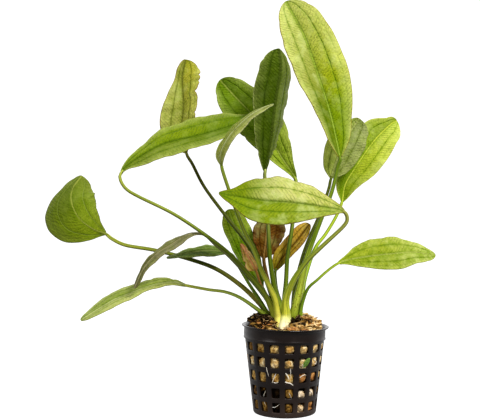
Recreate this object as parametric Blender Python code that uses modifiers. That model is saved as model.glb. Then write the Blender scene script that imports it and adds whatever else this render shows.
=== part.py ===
"""An aquarium plant with long-stalked oval leaves, growing out of a small black lattice net pot.

Run it with: blender --background --python part.py
Places and sizes in the tables are millimetres about the middle of the pot's underside:
X to the right, Y away from the viewer, Z up.
"""

import math

import bmesh
import bpy
import numpy as np
from mathutils import Vector

MM = 0.001

# Pot: a standard 5 cm net pot
RIM_RADIUS = 25.9
RIM_HEIGHT = 51.2
LIP_THICKNESS = 1.2
COLLAR_RADIUS = 24.2
COLLAR_BOTTOM = 43.6
BODY_TOP_RADIUS = 23.5
BASE_RADIUS = 18.5
WALL = 1.3
BASE_THICKNESS = 1.6
POT_FACETS = 32

# Lattice windows, in columns all round and rows from the top
WINDOW_COLUMNS = 16
FRONT_COLUMN_TURN = 6.8  # degrees by which the front column stands right of the middle
WINDOW_TOP_EDGES = (42.3, 34.8, 26.1, 17.4, 8.9)
WINDOW_HEIGHTS = (4.8, 5.8, 5.8, 5.8, 5.7)
WINDOW_SHARE = 0.61  # of the distance from one column to the next

# Growing medium and the root crown set into it
MEDIUM_GAP = 0.4
MOUND_EDGE = 50.6
MOUND_SHOULDER = 55.6
MOUND_TOP = 57.0
MOUND_RADII = (14.5, 18.5, 21.4, 22.6)
LUMP_HEIGHT = 0.6
LUMPS_PER_MM = (0.7, 0.6)  # radians of lump for each millimetre across and in depth
FRONT_FALL = 0.22  # the mound falls away towards the front
BACK_RISE = 0.04
RIGHT_FALL = 0.04
CROWN_CENTRE = (-0.8, 1.0)
CROWN_RADIUS = 13.8
CROWN_FLOOR = 47.0
CROWN_TOP = 55.2
CROWN_EDGE = 0.5
GAP = 0.3
JOINT_GAP = 0.5

# Leaves
PLANT_SHIFT = 1.2  # the leaves stand this far right of where their tables put them
SPAN_STEPS = 16  # steps of the smooth line from one given place to the next
DIRECTION_REACH = 1.5  # a blade's direction is read between places this far before and after
RIPPLE_OFFSET = 1.3  # radians between the ripples of a blade's two margins
STALK_TAPER = 1.6
BLADE_THICKNESS = 0.6
# Half widths are given at these fractions of the way from a blade's base to its tip
STATIONS = (0.0, 0.08, 0.22, 0.4, 0.6, 0.78, 0.92, 1.0)
BASE_HALF_WIDTH = 1.2
TIP_HALF_WIDTH = 0.5
TIP_ROUNDNESS = 1.5
BIG_GRID = (10, 6)
SMALL_GRID = (8, 4)
STALK_RINGS = 10

# Each leaf has
#   stalk: places from the crown up to the blade's base
#   rib: places along the blade's midrib, from its base to its tip
#   left, right: half widths at the middle six stations, looking along the rib from the front
#   lean_left, lean_right: degrees by which that half turns towards the viewer, at base and tip
#   wave: height of the ripple along the margin, and the number of ripples
#   thick: the stalk's radius at the crown and at the blade
LEAVES = {
    "tall_right": dict(
        stalk=((4.4, -1.5, 55.7), (4.6, -1.5, 59), (8, 0, 74), (11, 0, 87), (14, 0, 97),
               (21, 0, 115), (27, 1, 130), (31, 2, 146)),
        rib=((32, 2, 151), (27, 8, 178), (19, 12, 205), (11, 12, 227), (0, 8, 246)),
        left=(6, 9.5, 15, 18.5, 18, 13), right=(7, 12, 17.5, 18.5, 16, 11),
        lean_left=(38, 38), lean_right=(10, 10), wave=(0.6, 4), thick=(2.6, 1.2),
        grid=BIG_GRID, colour=(0.42, 0.55, -0.92)),
    "dark_upright": dict(
        stalk=((-2.6, 0, 55.7), (-3, 0, 59), (-6, 2, 69), (-8, 1, 78), (-10, -1, 92),
               (-11, -4, 109), (-12, -7, 125), (-13, -9, 137)),
        rib=((-13, -10, 142), (-10, -10, 159), (-7, -9, 183), (-4, -9, 202), (-5, -8, 214)),
        left=(4.5, 9, 11.5, 14, 13, 10), right=(3, 7, 11, 13, 13, 9),
        lean_left=(15, 15), lean_right=(-60, -60), wave=(0.9, 5), thick=(1.7, 1.1),
        grid=BIG_GRID, colour=(0.13, 0.21, -0.98)),
    "behind_upright": dict(
        stalk=((0.8, 3.6, 55.7), (0.5, 3.6, 58), (-1, 3, 65), (0, 3, 77), (1, 4, 92), (4, 7, 110),
               (6, 11, 131)),
        rib=((6, 12, 139), (-1, 13, 150), (-15, 14, 172), (-33, 17, 192), (-40, 18, 200)),
        left=(3, 7, 12, 14, 13, 8), right=(3.5, 8.5, 13, 14.5, 12, 8),
        lean_left=(10, 10), lean_right=(20, 20), wave=(0.7, 4), thick=(1.7, 1.5),
        grid=BIG_GRID, colour=(0.30, 0.42, -0.95)),
    "long_left": dict(
        stalk=((-7.9, -4.2, 55.7), (-8, -4.3, 59), (-13, -6, 70), (-22, -8, 81), (-34, -10, 94),
               (-48, -12, 105), (-66, -14, 117), (-86, -17, 127), (-93, -18.5, 131.5), (-96, -20, 137)),
        rib=((-95, -20, 141), (-89, -18, 147), (-72, -16, 157), (-50, -12, 163), (-29, -8, 170),
             (-21, -6, 174)),
        left=(4, 8, 13.5, 16, 14.5, 8), right=(5, 10, 12, 10, 9, 4),
        lean_left=(-45, -45), lean_right=(45, 50), wave=(0.6, 4), thick=(1.9, 1.2),
        grid=BIG_GRID, colour=(0.26, 0.40, -0.96)),
    "folded_front": dict(
        stalk=((-5.4, -8, 55.7), (-5.6, -8.2, 59), (-7, -9, 67), (-11, -11, 76), (-15, -13, 84),
               (-20, -15, 97), (-26, -20, 109), (-34, -27, 131)),
        rib=((-38, -31, 144), (-38, -32, 151), (-34, -33, 159), (-29, -33, 165), (-21, -33, 172),
             (-14, -32, 176), (-9, -31, 178)),
        left=(5, 7, 7, 8, 7, 4), right=(4, 6, 8, 8, 7, 4),
        lean_left=(-62, -86), lean_right=(60, 76), wave=(0.4, 3), thick=(1.9, 1.2),
        grid=SMALL_GRID, colour=(0.35, 0.43, -0.84)),
    "olive_back": dict(
        stalk=((-6.3, 4, 55.7), (-6.5, 4, 59), (-10, 2.4, 72), (-17, 2.5, 89), (-26, 5, 103),
               (-34, 8, 113), (-49, 14, 133), (-57, 18, 148)),
        rib=((-61, 20, 155), (-64, 22, 169), (-63, 24, 185), (-64, 28, 203), (-62, 30, 215)),
        left=(7, 13, 14, 10.5, 5, 3.5), right=(5, 9, 10, 10.5, 13.5, 10),
        lean_left=(20, 20), lean_right=(35, 30), wave=(0.8, 5), thick=(1.5, 1.0),
        grid=BIG_GRID, colour=(0.36, 0.38, -0.92)),
    "round_far_left": dict(
        stalk=((-11.6, 3.6, 55.7), (-11.7, 3.6, 57.5), (-15.5, 3.5, 63), (-27, 4, 74), (-42, 5, 84),
               (-59, 7, 90), (-79, 9, 95), (-97, 11, 98), (-106, 13, 102)),
        rib=((-110, 14, 105), (-118, 15, 108), (-127, 17, 115), (-131, 20, 125), (-131, 25, 133),
             (-127, 31, 140)),
        left=(4, 12, 20, 20.5, 10, 3.5), right=(5, 10, 14, 15, 13, 8),
        lean_left=(-15, -15), lean_right=(-20, -25), wave=(0.5, 3), thick=(1.6, 1.1),
        grid=BIG_GRID, colour=(0.30, 0.36, -0.94)),
    "big_front": dict(
        stalk=((-0.4, -8.2, 55.7), (-0.4, -8.3, 59), (-1, -12, 68), (2.5, -18, 78), (7, -23, 86),
               (10.5, -27, 91), (15, -31, 96), (22, -35, 103), (29, -38, 110), (31, -39, 114)),
        rib=((29, -40, 118), (22, -41, 120), (0, -43, 123), (-15, -44, 124), (-28, -45, 126),
             (-39, -46, 128)),
        left=(4, 8, 13.5, 15.5, 12, 5.5), right=(5, 11, 15.5, 16.5, 13.5, 5.5),
        lean_left=(35, 35), lean_right=(-35, -35), wave=(0.6, 4), thick=(2.8, 1.2),
        grid=BIG_GRID, colour=(0.40, 0.55, -0.94)),
    "broad_right": dict(
        stalk=((8.2, 3.1, 55.7), (8.3, 3.1, 59), (10, 4, 70), (12, 6, 80), (18, 10, 96),
               (25, 14, 105), (32, 18, 116)),
        rib=((36, 22, 125), (38, 24, 135), (44, 27, 145), (57, 32, 163), (68, 35, 174),
             (73, 37, 177)),
        left=(4.5, 8, 10.5, 12.5, 12, 5), right=(5.5, 9.5, 13.5, 14.5, 12.5, 8.5),
        lean_left=(20, 20), lean_right=(25, 25), wave=(0.7, 4), thick=(1.6, 1.2),
        grid=BIG_GRID, colour=(0.50, 0.58, -0.92)),
    "grey_right": dict(
        stalk=((4.3, 4.8, 55.7), (4.2, 4.8, 59), (5, 5, 71), (8, 6, 84), (11, 7, 94), (15, 9, 104),
               (20, 10, 115), (26, 11, 131)),
        rib=((28, 12, 139), (32, 13, 151), (38, 15, 164), (46, 17, 176)),
        left=(5, 8, 10, 9.5, 7, 4), right=(6, 10, 12, 13, 11, 8),
        lean_left=(-10, -10), lean_right=(10, 10), wave=(0.5, 3), thick=(1.5, 1.2),
        grid=SMALL_GRID, colour=(0.30, 0.36, -0.85)),
    "low_right": dict(
        stalk=((9.3, -3.2, 55.7), (9.4, -3.2, 59), (10.2, -3.2, 65), (13, -3, 73), (18, -3, 78),
               (25, -2, 84)),
        rib=((31, -2, 88), (38, 0, 90), (51, 2, 92), (62, 4, 93), (77, 7, 94), (91, 10, 92)),
        left=(3, 9, 12, 12.5, 8, 4), right=(3, 6.5, 9.5, 10.5, 7.5, 4.5),
        lean_left=(-40, -40), lean_right=(30, 30), wave=(0.5, 4), thick=(1.5, 0.9),
        grid=BIG_GRID, colour=(0.32, 0.48, -0.94)),
    "narrow_drooping": dict(
        stalk=((-7.6, -0.2, 55.7), (-8, -0.4, 59), (-13, -2, 68), (-22, -3, 79), (-34, -5, 92),
               (-42, -7, 99)),
        rib=((-49, -9, 105), (-58, -12, 104.5), (-68, -16, 98.5), (-75, -19, 94), (-82, -22, 86),
             (-87, -25, 75)),
        left=(2, 5, 6, 5, 3.5, 2.5), right=(2, 4, 6, 4, 3, 2),
        lean_left=(72, 74), lean_right=(-74, -76), wave=(0.5, 3), thick=(1.2, 0.9),
        grid=SMALL_GRID, colour=(0.26, 0.25, -0.86)),
    "small_left": dict(
        stalk=((-11.4, -0.9, 55.7), (-12, -0.7, 59), (-16, 0, 66), (-22, 1, 75), (-28, 2, 85)),
        rib=((-33, 2, 93), (-43, 1, 95), (-50, 0, 95), (-57, -1, 94), (-71, -3, 91)),
        left=(2.5, 5.5, 7, 6, 4, 2), right=(2.5, 5.5, 7, 6, 4, 2),
        lean_left=(65, 68), lean_right=(-65, -68), wave=(0.4, 3), thick=(1.2, 0.9),
        grid=SMALL_GRID, colour=(0.14, 0.22, -0.97)),
    "lowest_left": dict(
        stalk=((-12.2, -4.8, 55.7), (-12.4, -4.8, 57.5), (-17.5, -5, 62), (-27, -5, 68), (-36, -5, 71),
               (-46, -6, 72.5)),
        rib=((-59, -7, 75), (-68, -9, 77), (-80, -12, 75), (-91, -15, 71), (-101, -19, 67),
             (-117, -26, 57)),
        left=(2.5, 4, 5, 8, 8, 5), right=(3, 6.5, 8, 9, 7.5, 4.5),
        lean_left=(68, 70), lean_right=(-62, -65), wave=(0.8, 5), thick=(1.3, 0.9),
        grid=SMALL_GRID, colour=(0.36, 0.50, -0.88)),
    "green_behind": dict(
        stalk=((-7.7, 10.8, 55.7), (-8, 11.2, 59), (-11, 14, 66)),
        rib=((-14, 17, 72), (-20, 20, 83), (-26, 22, 95), (-30, 24, 107), (-35, 26, 120)),
        left=(2, 3.5, 5, 6.5, 7.5, 5.5), right=(3.5, 6.5, 9, 9.5, 9, 6.5),
        lean_left=(-10, -10), lean_right=(-15, -15), wave=(0.5, 3), thick=(1.5, 1.2),
        grid=SMALL_GRID, colour=(0.28, 0.42, -0.95)),
    "brown_middle": dict(
        stalk=((-4.9, 7.4, 55.7), (-5.5, 8, 59), (-9, 11, 71), (-12, 13, 83)),
        rib=((-13, 14, 90), (-12, 15, 99), (-11, 17, 108), (-9, 18, 117)),
        left=(3, 5.5, 8, 8.5, 7.5, 5.5), right=(5, 7, 10, 12, 11.5, 8),
        lean_left=(-12, -12), lean_right=(-15, -15), wave=(0.6, 4), thick=(1.4, 1.1),
        grid=SMALL_GRID, colour=(0.22, 0.11, -0.96)),
    "golden_brown": dict(
        stalk=((-0.9, 7.9, 55.7), (-1.5, 8, 59), (-5, 9, 70), (-6, 9.5, 77)),
        rib=((-6, 9.5, 83), (-3, 10, 89), (2, 11, 95), (8, 12, 102), (15, 14, 111)),
        left=(3.5, 6, 6.5, 6.5, 6, 4), right=(2.5, 3.5, 4, 4.5, 4, 2.5),
        lean_left=(12, 12), lean_right=(20, 20), wave=(0.4, 3), thick=(1.3, 0.9),
        grid=SMALL_GRID, colour=(0.36, 0.22, -0.95)),
    "withered": dict(
        stalk=((-8.9, 7, 55.7), (-9.2, 7.2, 59), (-13, 8.5, 69), (-16, 9, 77)),
        rib=((-18, 9, 83), (-22, 8.5, 90), (-27, 9, 99)),
        left=(2, 2.5, 2.5, 2, 1.5, 1), right=(3, 3.5, 3.5, 3, 2.5, 1.5),
        lean_left=(30, 30), lean_right=(10, 10), wave=(0.5, 2), thick=(1.0, 0.8),
        grid=SMALL_GRID, colour=(0.50, 0.22, -0.92)),
}

# Seedling leaf that pokes out through a window in the second row
LEAFLET_RIB = ((9.8, -18.7, 30.0), (10.7, -21.6, 31.9), (13.0, -23.9, 35.4))
LEAFLET_ACROSS = (0.85, 0.35, -0.4)
LEAFLET_HALF_WIDTH = 1.9
LEAFLET_BASE_HALF_WIDTH = 0.5
LEAFLET_THICKNESS = 0.5
LEAFLET_ROUNDEST = 0.92


def clear_scene():
    for obj in list(bpy.data.objects):
        bpy.data.objects.remove(obj, do_unlink=True)


def collection(name):
    made = bpy.data.collections.new(name)
    bpy.context.scene.collection.children.link(made)
    return made


def material(name, colour, roughness):
    made = bpy.data.materials.new(name)
    made.use_nodes = True
    shader = made.node_tree.nodes["Principled BSDF"]
    shader.inputs["Base Color"].default_value = (*colour, 1)
    shader.inputs["Roughness"].default_value = roughness
    shader.inputs["Metallic"].default_value = 0
    return made


def mesh_object(name, shape, into, look=None):
    """A new object from a bmesh, smooth where its faces meet softly."""
    mesh = bpy.data.meshes.new(name)
    shape.to_mesh(mesh)
    shape.free()
    if look:
        mesh.materials.append(look)
    mesh.shade_smooth()
    mesh.set_sharp_from_angle(angle=math.radians(35))
    obj = bpy.data.objects.new(name, mesh)
    into.objects.link(obj)
    return obj


def cutter(name, shape, into):
    obj = mesh_object(name, shape, into)
    obj.hide_render = True
    obj.display_type = "WIRE"
    return obj


def turned(name, profile, into, look):
    """A body turned about Z from (radius, height) points, with an edge in the middle of each column."""
    shape = bmesh.new()
    start = math.radians(FRONT_COLUMN_TURN)
    corners = [
        shape.verts.new((r * MM * math.cos(start), r * MM * math.sin(start), z * MM)) for r, z in profile
    ]
    for a, b in zip(corners, corners[1:]):
        shape.edges.new((a, b))
    obj = mesh_object(name, shape, into, look)
    screw = obj.modifiers.new("Turn", "SCREW")
    screw.steps = screw.render_steps = POT_FACETS
    screw.use_merge_vertices = True
    screw.merge_threshold = 0.00001
    return obj


def cut(obj, other):
    boolean = obj.modifiers.new("Cut", "BOOLEAN")
    boolean.operation = "DIFFERENCE"
    boolean.solver = "EXACT"
    boolean.object = other


def body_radius(height):
    """Outer radius of the tapered wall at a height."""
    return BASE_RADIUS + (BODY_TOP_RADIUS - BASE_RADIUS) * height / COLLAR_BOTTOM


def window_cutters(into):
    shape = bmesh.new()
    for top, height in zip(WINDOW_TOP_EDGES, WINDOW_HEIGHTS):
        middle = top - height / 2
        radius = body_radius(middle)
        wide = 2 * math.pi * radius / WINDOW_COLUMNS * WINDOW_SHARE
        for column in range(WINDOW_COLUMNS):
            angle = 2 * math.pi * column / WINDOW_COLUMNS - math.pi / 2 + math.radians(FRONT_COLUMN_TURN)
            box = bmesh.ops.create_cube(shape, size=1)["verts"]
            for vert in box:
                along = (radius + vert.co.x * 8) * MM
                across = vert.co.y * wide * MM
                vert.co = Vector((
                    along * math.cos(angle) - across * math.sin(angle),
                    along * math.sin(angle) + across * math.cos(angle),
                    (middle + vert.co.z * height) * MM,
                ))
    return cutter("window_cutters", shape, into)


def build_pot(into, helpers):
    look = material("black pot plastic", (0.012, 0.010, 0.011), 0.4)
    inside = BASE_THICKNESS
    profile = (
        (RIM_RADIUS - 1.6, RIM_HEIGHT),
        (RIM_RADIUS, RIM_HEIGHT - 0.1),
        (RIM_RADIUS, RIM_HEIGHT - LIP_THICKNESS),
        (COLLAR_RADIUS, RIM_HEIGHT - LIP_THICKNESS - 0.7),
        (COLLAR_RADIUS, COLLAR_BOTTOM),
        (BODY_TOP_RADIUS, COLLAR_BOTTOM),
        (BASE_RADIUS + 0.1, 0.8),
        (BASE_RADIUS - 0.8, 0),
        (0, 0),
        (0, inside),
        (body_radius(inside) - WALL, inside),
        (BODY_TOP_RADIUS - WALL, COLLAR_BOTTOM + 1.2),
        (COLLAR_RADIUS - WALL, RIM_HEIGHT - 2.5),
        (RIM_RADIUS - 1.6, RIM_HEIGHT),
    )
    pot = turned("net_pot", profile, into, look)
    cut(pot, window_cutters(helpers))


def build_medium(into, helpers):
    look = material("growing medium", (0.45, 0.28, 0.10), 0.95)
    low = BASE_THICKNESS + MEDIUM_GAP
    inset = WALL + MEDIUM_GAP
    profile = (
        (0, MOUND_TOP),
        (MOUND_RADII[0], MOUND_TOP),
        (MOUND_RADII[1], MOUND_SHOULDER),
        (MOUND_RADII[2], MOUND_SHOULDER - 2.3),
        (MOUND_RADII[3], MOUND_EDGE),
        (BODY_TOP_RADIUS - inset, COLLAR_BOTTOM),
        (body_radius(low) - inset, low),
        (0, low),
    )
    plug = turned("growing_medium", profile, into, look)
    bpy.context.view_layer.update()
    graph = bpy.context.evaluated_depsgraph_get()
    mesh = bpy.data.meshes.new_from_object(plug.evaluated_get(graph))
    plug.modifiers.clear()
    plug.data = mesh
    for vert in mesh.vertices:
        if vert.co.z > (MOUND_EDGE + 0.5) * MM:
            lump = LUMP_HEIGHT * MM * math.sin(vert.co.x / MM * LUMPS_PER_MM[0]) * math.cos(
                vert.co.y / MM * LUMPS_PER_MM[1]
            )
            slope = FRONT_FALL if vert.co.y < 0 else BACK_RISE
            height = vert.co.z + slope * vert.co.y - RIGHT_FALL * vert.co.x + lump
            vert.co.z = max(MOUND_EDGE * MM, height)
    shape = bmesh.new()
    bmesh.ops.create_cone(
        shape, cap_ends=True, segments=32,
        radius1=(CROWN_RADIUS + GAP) * MM, radius2=(CROWN_RADIUS + GAP) * MM, depth=20 * MM,
    )
    hole = cutter("crown_socket", shape, helpers)
    hole.location = (CROWN_CENTRE[0] * MM, CROWN_CENTRE[1] * MM, (CROWN_FLOOR + 10) * MM)
    cut(plug, hole)


def build_crown(into):
    look = material("root crown", (0.62, 0.60, 0.22), 0.5)
    shape = bmesh.new()
    floor = CROWN_FLOOR + GAP
    bmesh.ops.create_cone(
        shape, cap_ends=True, segments=24,
        radius1=(CROWN_RADIUS - 1.2) * MM, radius2=CROWN_RADIUS * MM, depth=(CROWN_TOP - floor) * MM,
    )
    crown = mesh_object("root_crown", shape, into, look)
    crown.location = (CROWN_CENTRE[0] * MM, CROWN_CENTRE[1] * MM, (CROWN_TOP + floor) / 2 * MM)
    bevel = crown.modifiers.new("Soft edge", "BEVEL")
    bevel.width = CROWN_EDGE * MM
    bevel.limit_method = "ANGLE"


def smooth_line(places):
    """Points on one smooth curve through the places, SPAN_STEPS from one place to the next."""
    given = [Vector(p) for p in places]
    ends = [2 * given[0] - given[1], *given, 2 * given[-1] - given[-2]]
    line = []
    for a, b, c, d in zip(ends, ends[1:], ends[2:], ends[3:]):
        for step in range(SPAN_STEPS):
            u = step / SPAN_STEPS
            line.append(0.5 * (2 * b + (c - a) * u + (2 * a - 5 * b + 4 * c - d) * u**2
                               + (3 * b - a - 3 * c + d) * u**3))
    line.append(given[-1])
    return line


def run_lengths(line):
    steps = [(b - a).length for a, b in zip(line, line[1:])]
    return np.concatenate([[0], np.cumsum(steps)])


def place_at(line, runs, run):
    return Vector([float(np.interp(run, runs, [p[axis] for p in line])) for axis in range(3)])


def half_width(middle_widths, share):
    """Smooth half width of a blade at a share of its length."""
    widths = np.array((BASE_HALF_WIDTH, *middle_widths, TIP_HALF_WIDTH))
    slopes = np.gradient(widths, STATIONS)
    i = min(int(np.searchsorted(STATIONS, share, side="right")) - 1, len(STATIONS) - 2)
    span = STATIONS[i + 1] - STATIONS[i]
    u = (share - STATIONS[i]) / span
    if i == len(STATIONS) - 2:  # the tip closes like a rounded corner
        corner = (1 - u**TIP_ROUNDNESS) ** (1 / TIP_ROUNDNESS)
        return float(widths[i + 1] + (widths[i] - widths[i + 1]) * corner)
    return float(
        (2 * u**3 - 3 * u**2 + 1) * widths[i] + (u**3 - 2 * u**2 + u) * span * slopes[i]
        + (3 * u**2 - 2 * u**3) * widths[i + 1] + (u**3 - u**2) * span * slopes[i + 1]
    )


def blade_point(leaf, line, runs, start, share, side):
    """A place on a blade. The share runs from its base to its tip, the side from -1 to 1."""
    end = runs[-1]
    run = start + share * (end - start)
    here = place_at(line, runs, run)
    ahead = place_at(line, runs, min(run + DIRECTION_REACH, end))
    along = (ahead - place_at(line, runs, run - DIRECTION_REACH)).normalized()
    right = along.cross(Vector((0, -1, 0))).normalized()
    to_viewer = right.cross(along)
    which, sign = ("right", 1) if side > 0 else ("left", -1)
    at_base, at_tip = leaf["lean_" + which]
    lean = math.radians(at_base + (at_tip - at_base) * share)
    wide = half_width(leaf[which], share) * abs(side)
    height, count = leaf["wave"]
    ripple = height * side**2 * math.sin(math.pi * share) * math.sin(
        2 * math.pi * count * share + RIPPLE_OFFSET * sign
    )
    outward = sign * right * math.cos(lean) + to_viewer * math.sin(lean)
    upward = to_viewer * math.cos(lean) - sign * right * math.sin(lean)
    return here + outward * wide + upward * ripple


def build_blade(name, leaf, line, runs, start, into, look):
    along, across = leaf["grid"]
    shape = bmesh.new()
    bmesh.ops.create_grid(shape, x_segments=across, y_segments=along, size=1)
    for vert in shape.verts:
        row = (vert.co.y + 1) / 2
        share = row / 2 + (1 - math.cos(math.pi * row)) / 4  # rows lie closer at both ends
        vert.co = blade_point(leaf, line, runs, start, share, vert.co.x) * MM
    blade = mesh_object(name, shape, into, look)
    solid = blade.modifiers.new("Thickness", "SOLIDIFY")
    solid.thickness = BLADE_THICKNESS * MM
    solid.offset = 0


def build_stalk(name, leaf, line, runs, end, into, look):
    curve = bpy.data.curves.new(name, "CURVE")
    curve.dimensions = "3D"
    curve.bevel_depth = MM
    curve.bevel_resolution = 1
    curve.use_fill_caps = True
    curve.materials.append(look)
    spline = curve.splines.new("POLY")
    spline.points.add(STALK_RINGS - 1)
    at_crown, at_blade = leaf["thick"]
    for i, point in enumerate(spline.points):
        share = (1 - math.cos(math.pi * i / (STALK_RINGS - 1))) / 2  # closer together at the ends
        point.co = (*(place_at(line, runs, share * end) * MM), 1)
        point.radius = at_blade + (at_crown - at_blade) * (1 - share) ** STALK_TAPER
    into.objects.link(bpy.data.objects.new(name, curve))


def build_leaf(name, leaf, into):
    """One leaf: its stalk rises from the crown, and its blade carries on along the same line."""
    look = material("leaf " + name.replace("_", " "), leaf["colour"], 0.45)
    stalk_look = material("stalk " + name.replace("_", " "), leaf["colour"], 0.5)
    line = smooth_line([(x + PLANT_SHIFT, y, z) for x, y, z in (*leaf["stalk"], *leaf["rib"])])
    runs = run_lengths(line)
    base = runs[SPAN_STEPS * len(leaf["stalk"])]
    build_stalk("stem_" + name, leaf, line, runs, base - JOINT_GAP, into, stalk_look)
    build_blade("leaf_" + name, leaf, line, runs, base, into, look)


def build_leaflet(into):
    """The small oval leaf in the window: a grid laid along its rib and widened in the middle."""
    look = material("leaflet", (0.14, 0.34, 0.03), 0.5)
    line = smooth_line(LEAFLET_RIB)
    runs = run_lengths(line)
    shape = bmesh.new()
    bmesh.ops.create_grid(shape, x_segments=2, y_segments=6, size=1)
    for vert in shape.verts:
        share = (vert.co.y + 1) / 2
        wide = LEAFLET_BASE_HALF_WIDTH + (LEAFLET_HALF_WIDTH - LEAFLET_BASE_HALF_WIDTH) * math.sin(
            math.pi * min(share, LEAFLET_ROUNDEST)
        )
        across = Vector(LEAFLET_ACROSS) * wide * vert.co.x
        vert.co = (place_at(line, runs, share * runs[-1]) + across) * MM
    leaflet = mesh_object("window_leaflet", shape, into, look)
    solid = leaflet.modifiers.new("Thickness", "SOLIDIFY")
    solid.thickness = LEAFLET_THICKNESS * MM
    solid.offset = 0


def main():
    clear_scene()
    parts = collection("potted echinodorus")
    helpers = collection("cutters")
    build_pot(parts, helpers)
    build_medium(parts, helpers)
    build_crown(parts)
    for name, leaf in LEAVES.items():
        build_leaf(name, leaf, parts)
    build_leaflet(parts)


main()
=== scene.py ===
"""The look of an aquarium plant in its black lattice net pot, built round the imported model.

Places and sizes in the tables are millimetres about the middle of the pot's underside:
X to the right, Y away from the viewer, Z up.
"""

import math
from functools import partial

import bmesh
import bpy
import numpy as np
from mathutils import Euler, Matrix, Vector


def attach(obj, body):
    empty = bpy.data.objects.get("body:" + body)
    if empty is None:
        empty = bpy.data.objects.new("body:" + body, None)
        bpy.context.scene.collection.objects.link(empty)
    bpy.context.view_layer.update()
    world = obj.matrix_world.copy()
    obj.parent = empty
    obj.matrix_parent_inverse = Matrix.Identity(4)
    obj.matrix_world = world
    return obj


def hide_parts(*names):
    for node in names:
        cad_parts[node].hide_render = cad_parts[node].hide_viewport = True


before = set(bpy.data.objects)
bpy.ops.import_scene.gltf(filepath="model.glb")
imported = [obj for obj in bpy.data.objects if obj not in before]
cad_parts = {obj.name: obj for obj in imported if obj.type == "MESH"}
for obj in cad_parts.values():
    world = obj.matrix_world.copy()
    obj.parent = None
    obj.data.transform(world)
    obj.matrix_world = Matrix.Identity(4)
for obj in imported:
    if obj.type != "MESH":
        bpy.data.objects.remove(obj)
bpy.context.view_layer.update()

MM = 0.001

# Camera: level with the plant's middle and close in front of it
IMAGE_WIDTH = 480
FOCAL_PIXELS = 807
SENSOR_WIDTH = 36
CAMERA_PLACE = (-26.4, -480, 114)
CAMERA_UP_TILT = 0.64

# Pot
RIM_RADIUS = 25.9
RIM_HEIGHT = 51.2
COLLAR_BOTTOM = 43.6
BODY_TOP_RADIUS = 23.5
BASE_RADIUS = 18.5
WALL = 1.3
BASE_THICKNESS = 1.6
WINDOW_COLUMNS = 16
FRONT_COLUMN_TURN = 4.4
WINDOW_TOP_EDGES = (42.3, 34.8, 26.1, 17.4, 8.9)
WINDOW_HEIGHTS = (4.8, 5.8, 5.8, 5.8, 5.7)
WINDOW_SHARE = 0.61
WINDOW_CORNER = 0.7
EDGE_ROUNDING = 0.22
RIM_TILT = 0.028  # how steeply the rim droops to the right
RIM_SHIFT = 0.5
SIDE_STEPS = 8  # mesh steps along each side of a window's cell
SEAM_COLUMNS = (0.5, 8.5)
SEAM_HEIGHT = 0.12

# Growing medium
MOUND_RADII = (0, 14.5, 18.5, 21.4, 22.6)
MOUND_HEIGHTS = (57.0, 57.0, 55.6, 53.3, 50.6)
FRONT_FALL = 0.22
BACK_RISE = 0.04
RIGHT_FALL = 0.04
PLUG_STEPS = 72
MOUND_CHIP_COUNT = 560
FIBRE_COUNT = 170
CROWN_CENTRE = (-0.8, 1.0)

# Leaves: the same driving dimensions as the solids
PLANT_SHIFT = 1.2
SPAN_STEPS = 16
DIRECTION_REACH = 1.5
RIPPLE_OFFSET = 1.3
STALK_TAPER = 2.2
STATIONS = (0.0, 0.08, 0.22, 0.4, 0.6, 0.78, 0.92, 1.0)
BASE_HALF_WIDTH = 1.2
TIP_HALF_WIDTH = 0.5
TIP_ROUNDNESS = 1.5
BLADE_THICKNESS = 0.45
LEAFLET_THICKNESS = 0.35
LEAN_START = 0.07  # share of the half width over which a half takes up its lean
VEIN_DEPTH = 0.25
STALK_SIDES = 16
MIDRIB_SIDES = 8
STALK_FOOT = 49.5
PATTERN_STEP = 200  # millimetres from one leaf's patterns to the next one's

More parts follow.
